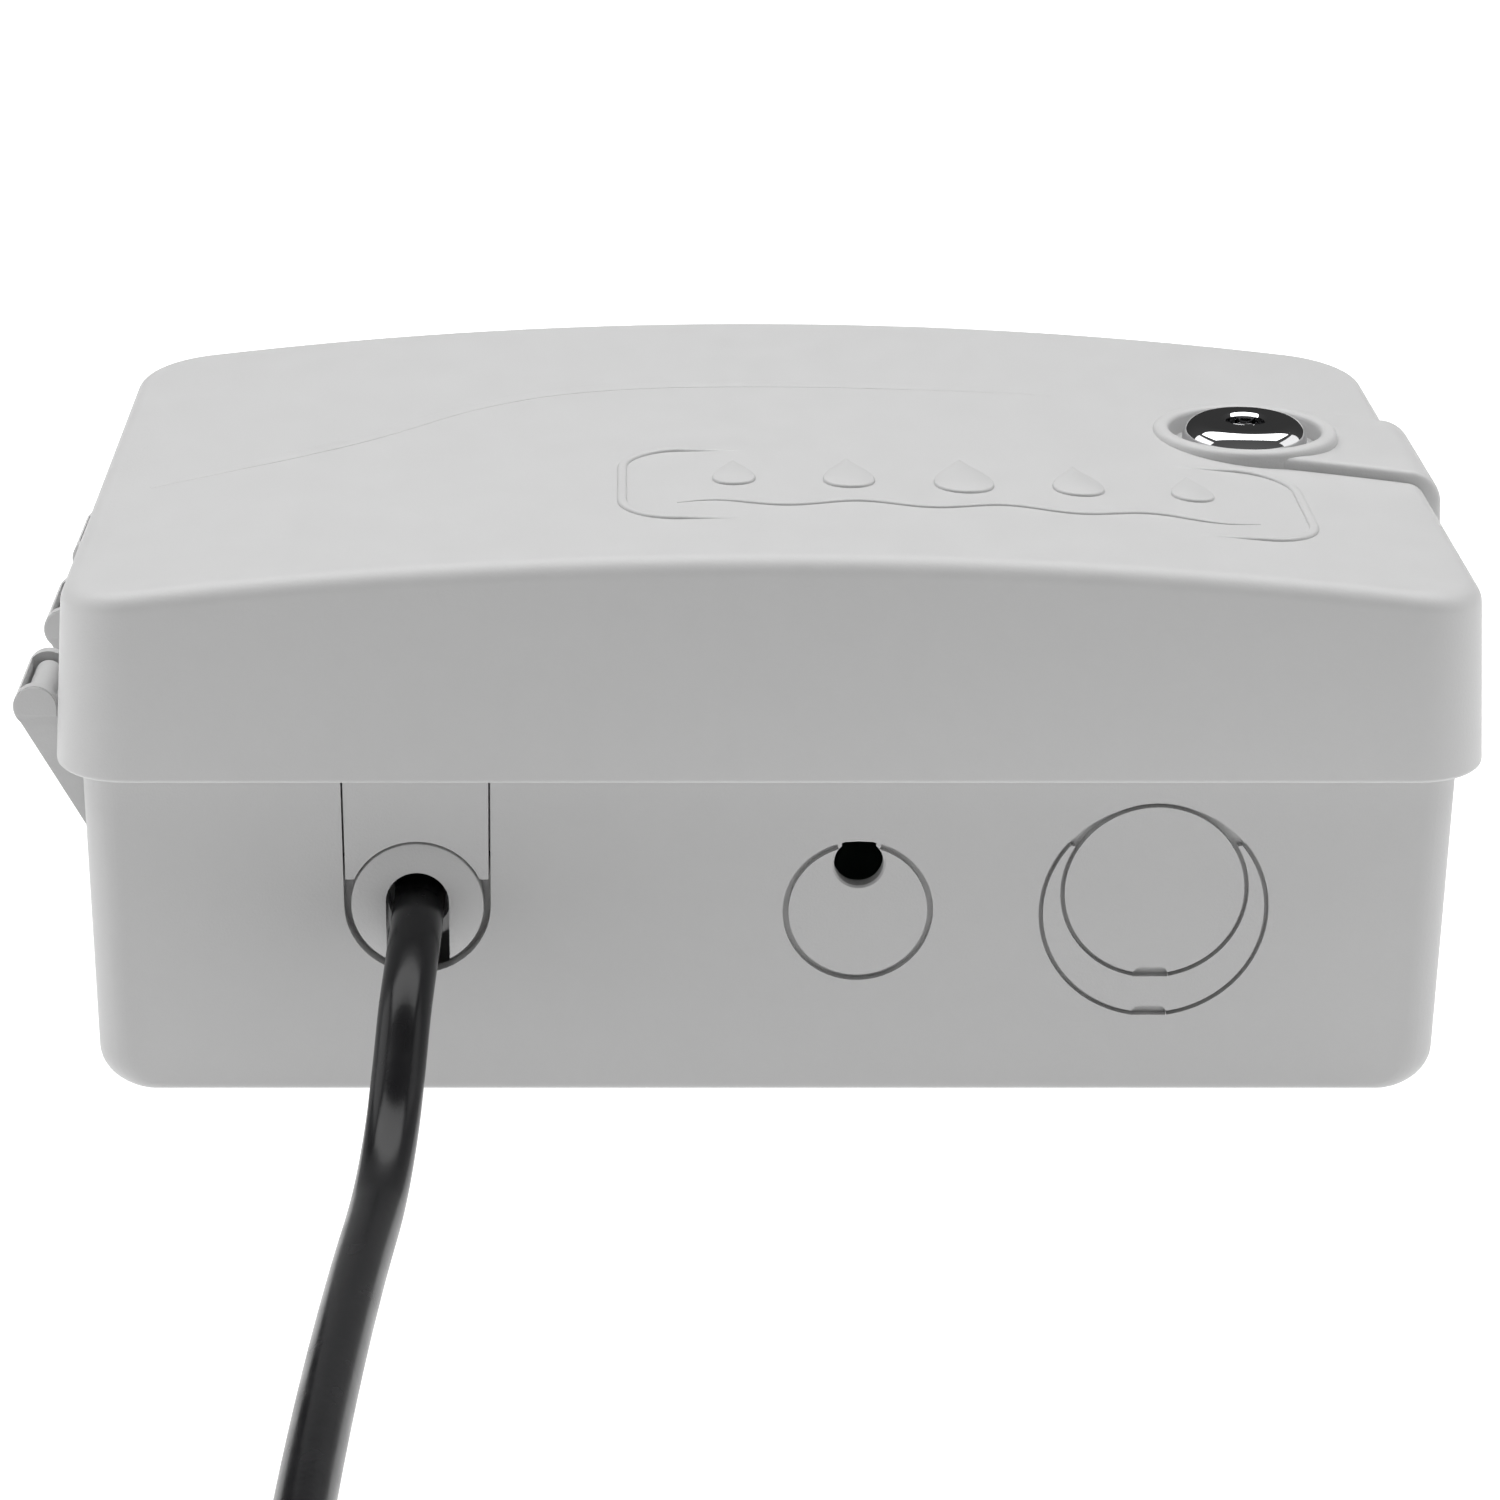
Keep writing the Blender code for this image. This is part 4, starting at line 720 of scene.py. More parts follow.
def base_block(inset, z0, z1, steps=10):
    """The base's outer shape, or its hollow when it is inset, with rounded corners and long bottom edges."""
    corner, side_round, edge_round = 6.0 - inset, 5.6 - inset, 1.0
    y_near, y_far = inset, BASE_DEPTH - inset
    cuts = [corner * (1 - math.cos(math.radians(90 * i / steps))) for i in range(steps + 1)]
    cuts = sorted(cuts + [edge_round * k for k in (0.08, 0.2, 0.35, 0.6)])
    sections = [(y_near + t, t) for t in cuts] + [(y_far - t, t) for t in reversed(cuts)]
    rings = []
    for y, t in sections:
        pull = corner - math.sqrt(max(0.0, corner**2 - (corner - t) ** 2))
        edge = max(0.0, edge_round - t)
        low = z0 + edge_round - math.sqrt(edge_round**2 - edge**2)
        half_low = 104.4 - inset - pull
        half_high = half_low + 0.6 / 52.0 * (z1 - low)
        right = arc((half_low - side_round, low + side_round), side_round, -90, 0, steps)
        left = arc((-half_low + side_round, low + side_round), side_round, 180, 270, steps)
        rings.append([(x, y, z) for x, z in right + [(half_high, z1), (-half_high, z1)] + left])
    bm = bmesh.new()
    loft(bm, rings)
    return bm


def slot_outline(top, radius, z_top):
    return [(GLAND_X + top, z_top), (GLAND_X - top, z_top)] + arc((GLAND_X, GLAND_Z), radius, 180, 360, 32)


def sector(centre, radius, half, start, end, steps=80):
    return arc(centre, radius + half, start, end, steps) + arc(centre, radius - half, end, start, steps)


def groove(name, outline, depth):
    """Cuts from the front of the conduit wall."""
    return prism_helper(name, outline, -1.0, depth, "xz")


def sensor_hole_outline(grow=0.0):
    r = 3.8 + grow
    sides = arc((13.7, 38.2), r, 133, 407, 40)
    top = 41.6 + grow
    return sides + [
        (16.4, 41.25), (16.3, top - 0.2), (15.9, top), (13.7, top + 0.12), (11.5, top), (11.1, top - 0.2),
        (11.0, 41.25),
    ]


def knockout_cuts():
    """Grooves round the knock-outs, their break tabs, the ledge where two meet, and the sensor's hole."""
    small, inner, outer = (13.7, 30.3), (59.1, 33.6), (59.1, 30.3)
    cuts = [
        groove("groove_small", sector(small, 11.1, 0.45, 107, 433), 1.3),
        groove("groove_inner", sector(inner, 14.1, 0.34, -79, 259), 1.5),
        groove("groove_outer", sector(outer, 17.3, 0.34, -81, 40), 1.5),
        groove("groove_outer_left", sector(outer, 17.3, 0.34, 140, 261), 1.5),
    ]
    ledge = arc(outer, 17.5, 39, 141, 40) + arc(inner, 14.1, 149, 31, 40)
    cuts.append(groove("knockout_ledge", ledge, 1.3))
    for name, z in (("tab_inner", 19.5), ("tab_outer", 13.0)):
        outline = [
            (56.3, z - 0.15), (61.7, z - 0.15), (61.8, z + 0.5), (61.3, z + 1.2), (60.7, z + 1.4),
            (57.5, z + 1.4), (56.9, z + 1.2), (56.3, z + 0.5),
        ]
        cuts.append(groove(name, outline, 1.2))
    depths = ((-0.6, 0.5), (0.0, 0.3), (0.3, 0.0), (5.0, 0.0))
    rings = [[(x, y, z) for x, z in sensor_hole_outline(grow)] for y, grow in depths]
    return cuts + [loft_piece("sensor_hole", rings, smooth=0)]


def make_base_shell():
    base = finish_mesh("base_shell", base_block(0.0, 0.0, 52.0), SHELL, smooth=0)
    collar = prism_helper("collar", rounded_rectangle(-103.2, 103.2, 1.6, 123.8, 4.4), 45.0, COLLAR_TOP)
    mouth = rounded_rectangle(-101.0, 101.0, 3.8, 121.6, 3.0, 6)
    tools = [
        helper("base_cavity", base_block(WALL, WALL, 49.0, 6)),
        prism_helper("collar_mouth", mouth, 48.0, 62.0),
        prism_helper("cord_slot", slot_outline(11.45, 11.25, 62.0), -1.0, 6.0, "xz"),
        box_helper("gate_channel", GLAND_X - 14.1, GLAND_X + 14.2, 38.0, 62.0, 2.6, 6.0, "xz"),
    ]
    tools += knockout_cuts()
    keyhole = arc((0, 104), 4.6, 200, 340, 20) + arc((0, 112), 2.3, 0, 180, 14)
    tools.append(prism_helper("keyhole", keyhole, -1.0, 4.0))
    countersunk = [(0, 5), (2.3, 5), (2.3, 0.8), (3.2, -0.1), (3.2, -1), (0, -1)]
    for x in (-84.0, 84.0):
        tools.append(spun_helper(f"wall_hole_{int(x)}", countersunk, placed(x, 16.0, 0.0), 32))
    carve(base, [("UNION", collar)] + [("DIFFERENCE", tool) for tool in tools], 28)
    attach(base, "case", "base_box")


def make_brackets():
    """Hinge brackets: a gusset, two cheeks with round noses and a trough that the lid's knuckle lies in."""
    centre = (HINGE_X - 0.2, HINGE_Z)
    body = [(-104.0, 36.6), (-104.0, 52.0), (centre[0] + 3.45, 52.0)] + arc(centre, 3.45, 0, 227, 30)
    face = [(centre[0] + 3.3, 57.8), (centre[0] + 3.3, HINGE_Z)] + arc(centre, 3.3, 0, 204, 28)
    for index, (y0, y1) in enumerate(BRACKETS, 1):
        bracket = prism_piece(f"hinge_bracket_{index}", body, y0, y1, "xz", SHELL, smooth=0)
        corners = (HINGE_X - 2.6, HINGE_X + 6.0, HINGE_Z - 2.7, HINGE_Z + 8.0)
        cut(bracket, [box_helper(f"trough_{index}", *corners, y0 + 1.8, y1 - 1.8, "xz")], 30)
        soften(bracket, 0.3, 3)
        attach(bracket, "case")
        for side, (a, b) in enumerate(((y0 - 0.25, y0 + 0.4), (y1 - 0.4, y1 + 0.25)), 1):
            cheek = prism_piece(f"hinge_cheek_{index}_{side}", face, a, b, "xz", SHELL, "case", smooth=30)
            soften(cheek, 0.12)


def make_posts():
    """Screw posts, the cord's anvil and the transformer's feet, inside the base."""
    profile = [(1.5, 57.2), (3.3, 57.2), (3.8, 56.7), (3.8, 2.0), (1.5, 2.0)]
    for index, (x, y) in enumerate(PANEL_SCREWS, 1):
        spun_piece(f"panel_post_{index}", profile, placed(x, y, 0.0), SHELL, "case", steps=32)
    profile = [(1.5, 8.0), (3.6, 8.0), (4.0, 7.6), (4.0, 2.0), (1.5, 2.0)]
    for index, x in enumerate((-91.5, -32.5), 1):
        spun_piece(f"transformer_post_{index}", profile, placed(x, 72.0, 0.0), SHELL, "case", steps=32)
    top = [(GLAND_X - 13, 2.0), (GLAND_X + 13, 2.0), (GLAND_X + 13, 29.3), (GLAND_X + 4.3, 29.3)]
    top += arc((GLAND_X, CORD_Z), 4.3, 357, 183, 20) + [(GLAND_X - 4.3, 29.3), (GLAND_X - 13, 29.3)]
    anvil = prism_piece("cord_anvil", top, 13.5, 21.5, "xz", SHELL, "case", smooth=30)
    soften(anvil, 0.3, 2)


def make_gate_and_bushing():
    """The gate that closes the cord's slot from above, and the bushing round the cord."""
    notch, low, top = 10.5, 35.5, COLLAR_TOP - 0.3
    angle = math.degrees(math.asin((low - GLAND_Z) / notch))
    half_low, half_high = 10.98, 11.15
    plate = [(GLAND_X + half_high, top), (GLAND_X - half_high, top), (GLAND_X - half_low, low)]
    plate += arc((GLAND_X, GLAND_Z), notch, 180 - angle, angle, 40) + [(GLAND_X + half_low, low)]
    gate = prism_piece("gate_plate", plate, 0.0, 2.9, "xz", SHELL, "case", smooth=30)
    soften(gate, 0.15, 2)
    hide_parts("cord_gate")
    notch = 13.6
    angle = math.degrees(math.asin((38.4 - GLAND_Z) / notch))
    flange = [(GLAND_X + 13.7, top), (GLAND_X - 13.7, top), (GLAND_X - 13.7, 38.4)]
    flange += arc((GLAND_X, GLAND_Z), notch, 180 - angle, angle, 40) + [(GLAND_X + 13.7, 38.4)]
    prism_piece("gate_flange", flange, 2.8, 4.4, "xz", SHELL, "case", smooth=30)

    profile = [
        (0.0, 0.0), (9.85, 0.0), (10.1, 0.1), (10.2, 0.35), (10.2, 3.2), (13.0, 3.2), (13.0, 4.8),
        (8.0, 4.8), (8.0, 10.0), (0.0, 10.0),
    ]
    bushing = spun_piece(
        "bushing_body", profile, placed(GLAND_X, 0.0, GLAND_Z, -90), SHELL, steps=96, smooth=0,
    )
    legs = arc((GLAND_X, 31.75), 4.85, 0, 180, 32)
    arch = legs + [(GLAND_X - 4.85, 15.0), (GLAND_X + 4.85, 15.0)]
    bore = legs + arc((GLAND_X, CORD_Z), 4.85, 180, 360, 32)
    tools = [groove("bushing_arch", arch, 6.5), groove("bushing_bore", bore, 12.0)]
    cut(bushing, tools, 30)
    attach(bushing, "case", "cord_bushing")


make_base_shell()
make_brackets()
make_posts()
make_gate_and_bushing()


# ---------------------------------------------------------------- mains cord and plug


CORD_ROUTE = [
    (-53.9, 1.6, 29.5), (-53.9, -1.5, 29.5), (-54.0, -7.0, 28.8), (-54.4, -14.0, 26.5), (-55.0, -20.5, 22.6),
    (-55.6, -26.5, 16.8), (-56.3, -32.6, 10.9), (-57.0, -39.1, 7.1), (-57.7, -46.1, 4.8), (-58.3, -53.1, 4.1),
    (-59.5, -68.0, 4.05), (-60.8, -88.0, 4.05), (-61.9, -110.0, 4.05), (-62.7, -133.0, 4.05),
    (-63.0, -156.0, 4.05), (-63.0, -178.0, 4.05), (-63.0, -200.0, 4.05),
]
CORD_RADIUS = 4.0
COIL_X, COIL_Y = -9.5, -216.0
PLUG_AT = (22.5, -269.5, 12.4)


def ease(t):
    t = min(1.0, max(0.0, t))
    return t * t * (3 - 2 * t)


def coil_points(per_turn=48, turns=5.25, pitch=8, share=0.22):
    """Three turns on the floor, inwards, then the climb and the turns on top of them, outwards."""
    points = []
    for i in range(1, int(per_turn * turns) + 1):
        t = i / per_turn
        radius = 53.5 - pitch * (ease((t - 0.78) / share) + ease((t - 1.78) / share))
        radius += pitch * (ease((t - 3.33) / share) + ease((t - 4.33) / share))
        height = 4.05 + 8.1 * ease((t - 2.58) / 0.26)
        angle = math.radians(180 + 360 * t)
        points.append((COIL_X + radius * math.cos(angle), COIL_Y + radius * math.sin(angle), height))
    return points


def cord_length(points):
    return sum((Vector(b) - Vector(a)).length for a, b in zip(points, points[1:])) * 0.001


def make_cord():
    route = smooth_route(CORD_ROUTE + [(-63.0, COIL_Y, 4.05)], 6) + [Vector(p) for p in coil_points()]
    last, inside_plug = route[-1], PLUG_AT[0] + 1.0
    for k in range(1, 6):
        x, z = last.x + (inside_plug - last.x) * k / 5, last.z + (PLUG_AT[2] - last.z) * k / 5
        route.append(Vector((x, PLUG_AT[1], z)))
    cord = tube_curve("mains_cord_run", route, CORD_RADIUS, JACKET)
    attach(cord, "case", "mains_cord", "cord_coil")
    return cord, cord_length(route)


def plug_ring(x, half_width, half_height, round_off):
    px, py, pz = PLUG_AT
    return [(px + x, y, z) for y, z in centred_rectangle(py, pz, half_width, half_height, round_off)]


def make_plug():
    """The moulded plug: a segmented strain relief, a ribbed grip and a flat face."""
    sections = [(0.0, 4.6, 4.6, 4.3)]
    for i in range(5):
        x, r = 1.0 + 3.0 * i, 4.9 + 0.28 * i
        for dx, out in ((0.0, r), (1.6, r), (1.8, r - 0.7), (2.6, r - 0.7)):
            sections.append((x + dx, out, out, out - 0.4))
    sections += [
        (16.5, 6.3, 6.3, 5.4), (20.0, 8.4, 7.9, 5.9), (22.5, 10.7, 9.7, 6.2), (25.0, 12.3, 11.0, 6.4),
        (27.5, 13.1, 11.7, 6.0),
    ]
    for i in range(5):
        x = 29.0 + 2.4 * i
        sections += [
            (x, 13.35, 11.95, 5.2), (x + 1.2, 13.35, 11.95, 5.2), (x + 1.4, 12.9, 11.5, 4.8),
            (x + 2.2, 12.9, 11.5, 4.8),
        ]
    sections += [
        (41.2, 13.35, 11.95, 4.4), (48.0, 13.35, 11.95, 4.0), (49.4, 13.0, 11.6, 3.8),
        (50.0, 12.4, 11.0, 3.5),
    ]
    plug = loft_piece(
        "plug_moulding", [plug_ring(*section) for section in sections], JACKET, "case", smooth=50,
    )
    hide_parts("plug_body")
    return plug


CORD, CORD_LENGTH = make_cord()
PLUG = make_plug()


# ---------------------------------------------------------------- screws


def screw_piece(name, place, length, body, head_radius=2.6):
    """A pan-head screw with a cross recess and a thread, its head's underside in the plane of `place`."""
    r = head_radius
    profile = [
        (0.0, 1.68), (0.45 * r, 1.64), (0.75 * r, 1.38), (0.93 * r, 0.95), (r - 0.02, 0.6), (r - 0.02, 0.12),
    ]
    profile += [(r - 0.15, 0.02), (1.1, 0.02), (1.1, -0.6)]
    for i in range(int((length - 1.2) / 0.9)):
        z = -0.7 - 0.9 * i
        profile += [(1.08, z), (0.78, z - 0.35), (0.78, z - 0.55)]
    profile += [(1.05, -length + 0.2), (0.3, -length - 0.4), (0.0, -length - 0.5)]
    screw = spun_piece(name, profile, place, STEEL, steps=24, smooth=0)
    w, reach = 0.26, 0.58 * r
    cross = [
        (reach, w), (w, w), (w, reach), (-w, reach), (-w, w), (-reach, w), (-reach, -w), (-w, -w),
        (-w, -reach), (w, -reach), (w, -w), (reach, -w),
    ]
    bm = bmesh.new()
    prism(bm, cross, 0.55, 3.0)
    cut(screw, [helper(name + "_recess", bm, place)], 30)
    attach(screw, body, name)
    screw.name = name + "_threaded"


# ---------------------------------------------------------------- lock


CAM_Z, STRIKE_X = -19.2, 99.2


def make_lock():
    """The chromed dome with its thread, the cylinder in it, the hexagon nut and the cam's screw."""
    seat = -1.2
    turns = [math.radians(degrees) for degrees in range(0, 91, 6)]
    crown = [(7.2 + 3.0 * math.sin(a), 0.2 + 3.3 * math.cos(a)) for a in turns]
    profile = [
        (3.75, -15.8), (3.75, 2.4), (3.15, 2.7), (3.15, 3.2), (3.7, 3.58), (3.9, 3.67), (4.3, 3.7),
    ] + crown
    profile += [(10.2, seat + 0.1), (10.1, seat), (8.0, seat), (8.0, -3.2)]
    for i in range(14):
        z = -3.4 - 0.85 * i
        profile += [(7.95, z), (7.55, z - 0.42)]
    profile += [(7.9, -15.4), (7.5, -15.8)]
    dome = spun_piece("lock_dome", profile, LOCK_FRAME, CHROME, steps=128, smooth=0)
    bm = bmesh.new()
    prism(bm, box_outline(-0.7, 0.7, -0.9, 0.9), -1.6, 2.0)
    cut(dome, [helper("key_notch", bm, LOCK_FRAME @ placed(0.0, -3.4, 2.2))])
    attach(dome, "lid", "lock_housing")

    post = [
        (0.0, 2.58), (1.35, 2.58), (1.6, 2.5), (1.68, 2.3), (1.68, -1.7), (3.2, -1.7), (3.35, -1.85),
        (3.35, -16.5), (2.6, -16.6), (2.6, CAM_Z - 1.75), (1.5, CAM_Z - 1.75), (1.5, -13.0), (0.0, -13.0),
    ]
    plug = spun_piece("lock_keyway_post", post, LOCK_FRAME, CHROME, "lock")
    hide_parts("lock_plug")
    # A black ring laid over the post's chrome shoulder at the keyway's floor: painted shade for the deep,
    # narrow keyway.
    keyway_shade_ring = [(1.72, -1.4), (3.3, -1.4), (3.3, -1.75), (1.72, -1.75)]
    spun_piece("lock_keyway_painted_shade", keyway_shade_ring, LOCK_FRAME, BLACK, "lock")

    bm = bmesh.new()
    prism(bm, arc((0, 0), 11.15, 0, 300, 5), -9.0, -5.4)
    nut = finish_mesh("lock_nut_hexagon", bm, STEEL, smooth=0, matrix=LOCK_FRAME)
    chamfer = [(0, -4), (9.6, -4), (9.6, -5.3), (11.3, -6.1), (11.3, -8.3), (9.6, -9.1), (9.6, -10), (0, -10)]
    carve(nut, [
        ("INTERSECT", spun_helper("nut_chamfer", chamfer, LOCK_FRAME)),
        ("DIFFERENCE", drill("nut_bore", 8.3, -4, -11, LOCK_FRAME)),
    ], 20)
    attach(nut, "lid", "lock_nut")
    screw_piece("cam_screw", LOCK_FRAME @ placed(0, 0, CAM_Z - 2.1, 180), 6.0, "lock", 4.5)


make_lock()
for strike_index, strike_y in enumerate((64.0, 75.0), 1):
    screw_piece(f"strike_screw_{strike_index}", placed(STRIKE_X, strike_y, 54.0, turn_y=-90), 2.6, "case")


# ---------------------------------------------------------------- cord clamp, transformer and leads


def wire(name, points, radius, material, slot, per_span=8):
    lead = tube_curve(name, smooth_route(points, per_span), radius, material, 6)
    attach(lead, "case", slot=slot)
    return lead


def make_clamp():
    """The bar that two screws press on the cord, above the anvil."""
    x0, x1 = GLAND_X - 12.95, GLAND_X + 12.95
    outline = [(x0, 29.75), (GLAND_X - 4.35, 29.75)] + arc((GLAND_X, CORD_Z), 4.36, 177, 3, 24)
    outline += [(GLAND_X + 4.35, 29.75), (x1, 29.75), (x1, 34.4), (x1 - 1.2, 35.6), (GLAND_X + 6.6, 35.6)]
    outline += [
        (GLAND_X + 4.8, 36.45), (GLAND_X - 4.8, 36.45), (GLAND_X - 6.6, 35.6), (x0 + 1.2, 35.6), (x0, 34.4),
    ]
    bar = prism_piece("cord_clamp_bar", outline, 13.55, 21.45, "xz", BLACK, smooth=0)
    stepped = [(0, 45), (2.9, 45), (2.9, 35.9), (1.5, 35.9), (1.5, 25), (0, 25)]
    screws = [GLAND_X - 9.0, GLAND_X + 9.0]
    cut(bar, [spun_helper(f"clamp_bore_{int(x)}", stepped, placed(x, 17.5, 0.9), 24) for x in screws], 25)
    soften(bar, 0.25)
    attach(bar, "case", "cord_clamp")
    for index, x in enumerate(screws, 1):
        screw_piece(f"cord_clamp_screw_{index}", placed(x, 17.5, 36.8), 14.0, "case")


def make_leads():
    """The cord's stretch inside the case with its three cores, and the transformer's two thin wires."""
    route = [(GLAND_X, y, CORD_Z) for y in (1.9, 12, 23)] + [(-55.1, 30, 29.8), (-57.6, 37.5, 30.6)]
    jacket = wire("mains_lead_jacket", route, 3.98, JACKET, "cord_black", 10)
    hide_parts("mains_lead")
    cores = ((WIRE_BROWN, -1.7, 0.9), (WIRE_BLUE, 1.7, 0.9), (WIRE_GREEN, 0.0, -1.7))
    for index, (material, side, up) in enumerate(cores, 1):
        start = (-57.2 + side * 0.6, 36.0, 30.4 + up * 0.6)
        points = [
            start, (-58.6 + side, 41.0, 31.0 + up), (-60.4 + side * 1.2, 47.0, 31.5 + up * 1.1),
            (-61.6 + side * 1.3, 53.4, 31.3 + up),
        ]
        wire(f"mains_core_{index}", points, 1.05, material, "lead_red")
    x, y = -62.0, 91.9
    for index, side in enumerate((-0.62, 0.62)):
        points = [
            (x + side, y - 1.2, 24), (x + 1 - side, y + 2.5, 27), (x + 5 + side, y + 5.5, 33),
            (x + 9 - side, y + 6, 39), (x + 10 + side, y + 6, 45.6),
        ]
        lead = wire(f"secondary_wire_{index + 1}", points, 0.62, WIRE_RED, "lead_red")
        if index == 0:
            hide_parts("secondary_lead")


def make_winding():
    """The taped winding between two bobbin flanges, round the core's middle leg."""
    x, y = -62.0, 72.0
    rings = []
    for z, out in (
        (12.4, -0.9), (12.9, -0.4), (14.5, -0.1), (17.5, 0.1), (22.0, 0.18), (26.5, 0.1), (29.5, -0.1),
        (31.1, -0.4), (31.6, -0.9),
    ):
        rings.append(level(centred_rectangle(x, y, 15.4 + out, 17.6 + out, 3.4), z))
    winding = loft_piece("transformer_winding", rings, TAPE, smooth=0)
    leg = (x - 8.2, x + 8.2, y - 9.2, y + 9.2, 5.0, 40.0)
    cut(winding, [box_helper("core_leg", *leg)], 40)
    attach(winding, "case", "transformer_coil")
    outline = centred_rectangle(x, y, 15.65, 17.95, 2.0, 5)
    for index, (z0, z1) in enumerate(((11.15, 12.3), (31.7, 32.45)), 1):
        flange = prism_piece(f"bobbin_flange_{index}", outline, z0, z1, "xy", BLACK, smooth=0)
        cut(flange, [box_helper("flange_leg", *leg)], 30)
        attach(flange, "case")
    for index, side in enumerate((-29.5, 29.5), 1):
        screw_piece(f"transformer_screw_{index}", placed(x + side, y, 9.8), 5.0, "case")


make_clamp()
make_leads()
make_winding()


# ---------------------------------------------------------------- control panel


PANEL_Z, BOARD_Z = 60.0, 47.6
PRINT = (PANEL_Z - 0.02, PANEL_Z + 0.05)
BOARD_SCREWS = ((-82.0, 48.0), (-82.0, 113.0), (82.0, 48.0), (82.0, 113.0))
SCREEN_X, SCREEN_Y = -38.0, 95.0
DIAL_X, DIAL_Y = 36.0, 86.0
KEY_Y = 60.0
KEYS = {"back": -76.0, "next": -57.0, "minus": -38.0, "plus": -19.0, "manual": 0.0}


def ellipse(x, y, radius, squash=0.72, steps=64):
    angles = [2 * math.pi * i / steps for i in range(steps)]
    return [(x + radius * math.cos(a), y + squash * radius * math.sin(a)) for a in angles]


def make_panel():
    """The panel with its openings, and the posts and screws that hold the board and the panel."""
    outline = rounded_rectangle(-98.5, 98.5, 40.0, 119.5, 3.0, 6)
    panel = prism_piece("panel_plate", outline, 57.5, PANEL_Z, "xy", PANEL, smooth=0)
    ledge = rounded_rectangle(-78.0, 2.0, 76.0, 114.0, 2.0, 5)
    track = [(20.6, 61.0), (21.3, 61.0), (21.1, 59.65), (20.8, 59.65)]
    tools = [
        box_helper("strike_notch", 87.5, 110.0, 58.5, 80.5, 50, 70),
        prism_helper("window_ledge", ledge, PANEL_Z - 1.6, 62),
        box_helper("window_opening", -76.0, 0.0, 78.0, 112.0, 50, 70),
        drill("dial_hole", 4.2, 70, 50, placed(DIAL_X, DIAL_Y, 0), 40),
        spun_helper("dial_track", track, placed(DIAL_X, DIAL_Y, 0), 96),
    ]
    tools += [prism_helper(f"{name}_hole", ellipse(x, KEY_Y, 6.8), 50, 70) for name, x in KEYS.items()]
    tools.append(box_helper("slider_slot", 30.4, 41.6, 47.6, 52.4, 50, 70))
    for index, (x, y) in enumerate(PANEL_SCREWS, 1):
        tools.append(drill(f"panel_hole_{index}", 1.5, 66, 55, placed(x, y, 0), 24))
    cut(panel, tools, 25)
    soften(panel, 0.3)
    attach(panel, "case", "control_panel")
    profile = [(1.4, 57.6), (3.0, 57.6), (3.0, 48.2), (2.8, 47.95), (1.4, 47.95)]
    for index, (x, y) in enumerate(BOARD_SCREWS, 1):
        spun_piece(f"board_post_{index}", profile, placed(x, y, 0), PANEL, "case", steps=28)
        screw_piece(f"board_screw_{index}", placed(x, y, 45.7, 180), 7.0, "case")
    for index, (x, y) in enumerate(PANEL_SCREWS, 1):
        screw_piece(f"panel_screw_{index}", placed(x, y, PANEL_Z + 0.3), 12.0, "case", 3.0)


def add_text(bm, text, size, place):
    """Adds plain figures to a bmesh, in millimetres."""
    curve = bpy.data.curves.new("figures", "FONT")
    curve.body = text
    curve.size = size
    curve.extrude = 0.03
    curve.align_x = "CENTER"
    curve.align_y = "CENTER"
    curve.resolution_u = 3
    holder = bpy.data.objects.new("figures", curve)
    scene.collection.objects.link(holder)
    bpy.context.view_layer.update()
    mesh = bpy.data.meshes.new_from_object(holder.evaluated_get(bpy.context.evaluated_depsgraph_get()))
    mesh.transform(place)
    bm.from_mesh(mesh)
    bpy.data.objects.remove(holder, do_unlink=True)
    bpy.data.meshes.remove(mesh)
    bmesh.ops.remove_doubles(bm, verts=bm.verts, dist=1e-4)


def make_panel_print():
    """The dial's steps and figures, the terminals' numbers and the frames round the screen and the keys."""
    bm = bmesh.new()
    for i in range(25):
        angle = math.radians(225 - 270 * i / 24)
        long = i % 3 == 0
        r0, r1, half = 22.4, 25.6 if long else 24.1, 0.28 if long else 0.16
        along = Vector((math.cos(angle), math.sin(angle)))
        side = Vector((-along.y, along.x)) * half
        corners = [along * r0 - side, along * r1 - side, along * r1 + side, along * r0 + side]
        prism(bm, [(DIAL_X + c.x, DIAL_Y + c.y) for c in corners], *PRINT)
    for i in range(9):
        angle = math.radians(225 - 270 * i / 8)
        place = placed(DIAL_X + 28.9 * math.cos(angle), DIAL_Y + 28.9 * math.sin(angle), PANEL_Z + 0.02)
        add_text(bm, str(i), 4.6, place)
    for i in range(10):
        add_text(bm, str(i + 1), 3.6, placed(4.0 + 8.0 * i, 43.2, PANEL_Z + 0.02))
    finish_mesh("panel_scales", bm, PRINT_WHITE, "case", "panel_grey", 30)
    bm = bmesh.new()
    screen = (
        rounded_rectangle(-80.6, 4.6, 73.4, 116.6, 3.5), rounded_rectangle(-79.8, 3.8, 74.2, 115.8, 2.8),
    )
    keys = (rounded_rectangle(-85.5, 9.5, 52.8, 67.2, 5.0), rounded_rectangle(-84.9, 8.9, 53.4, 66.6, 4.4))
    ring_band(bm, *screen, *PRINT)
    ring_band(bm, *keys, *PRINT)
    finish_mesh("panel_frames", bm, PRINT_WHITE, "case", "panel_grey", 30)


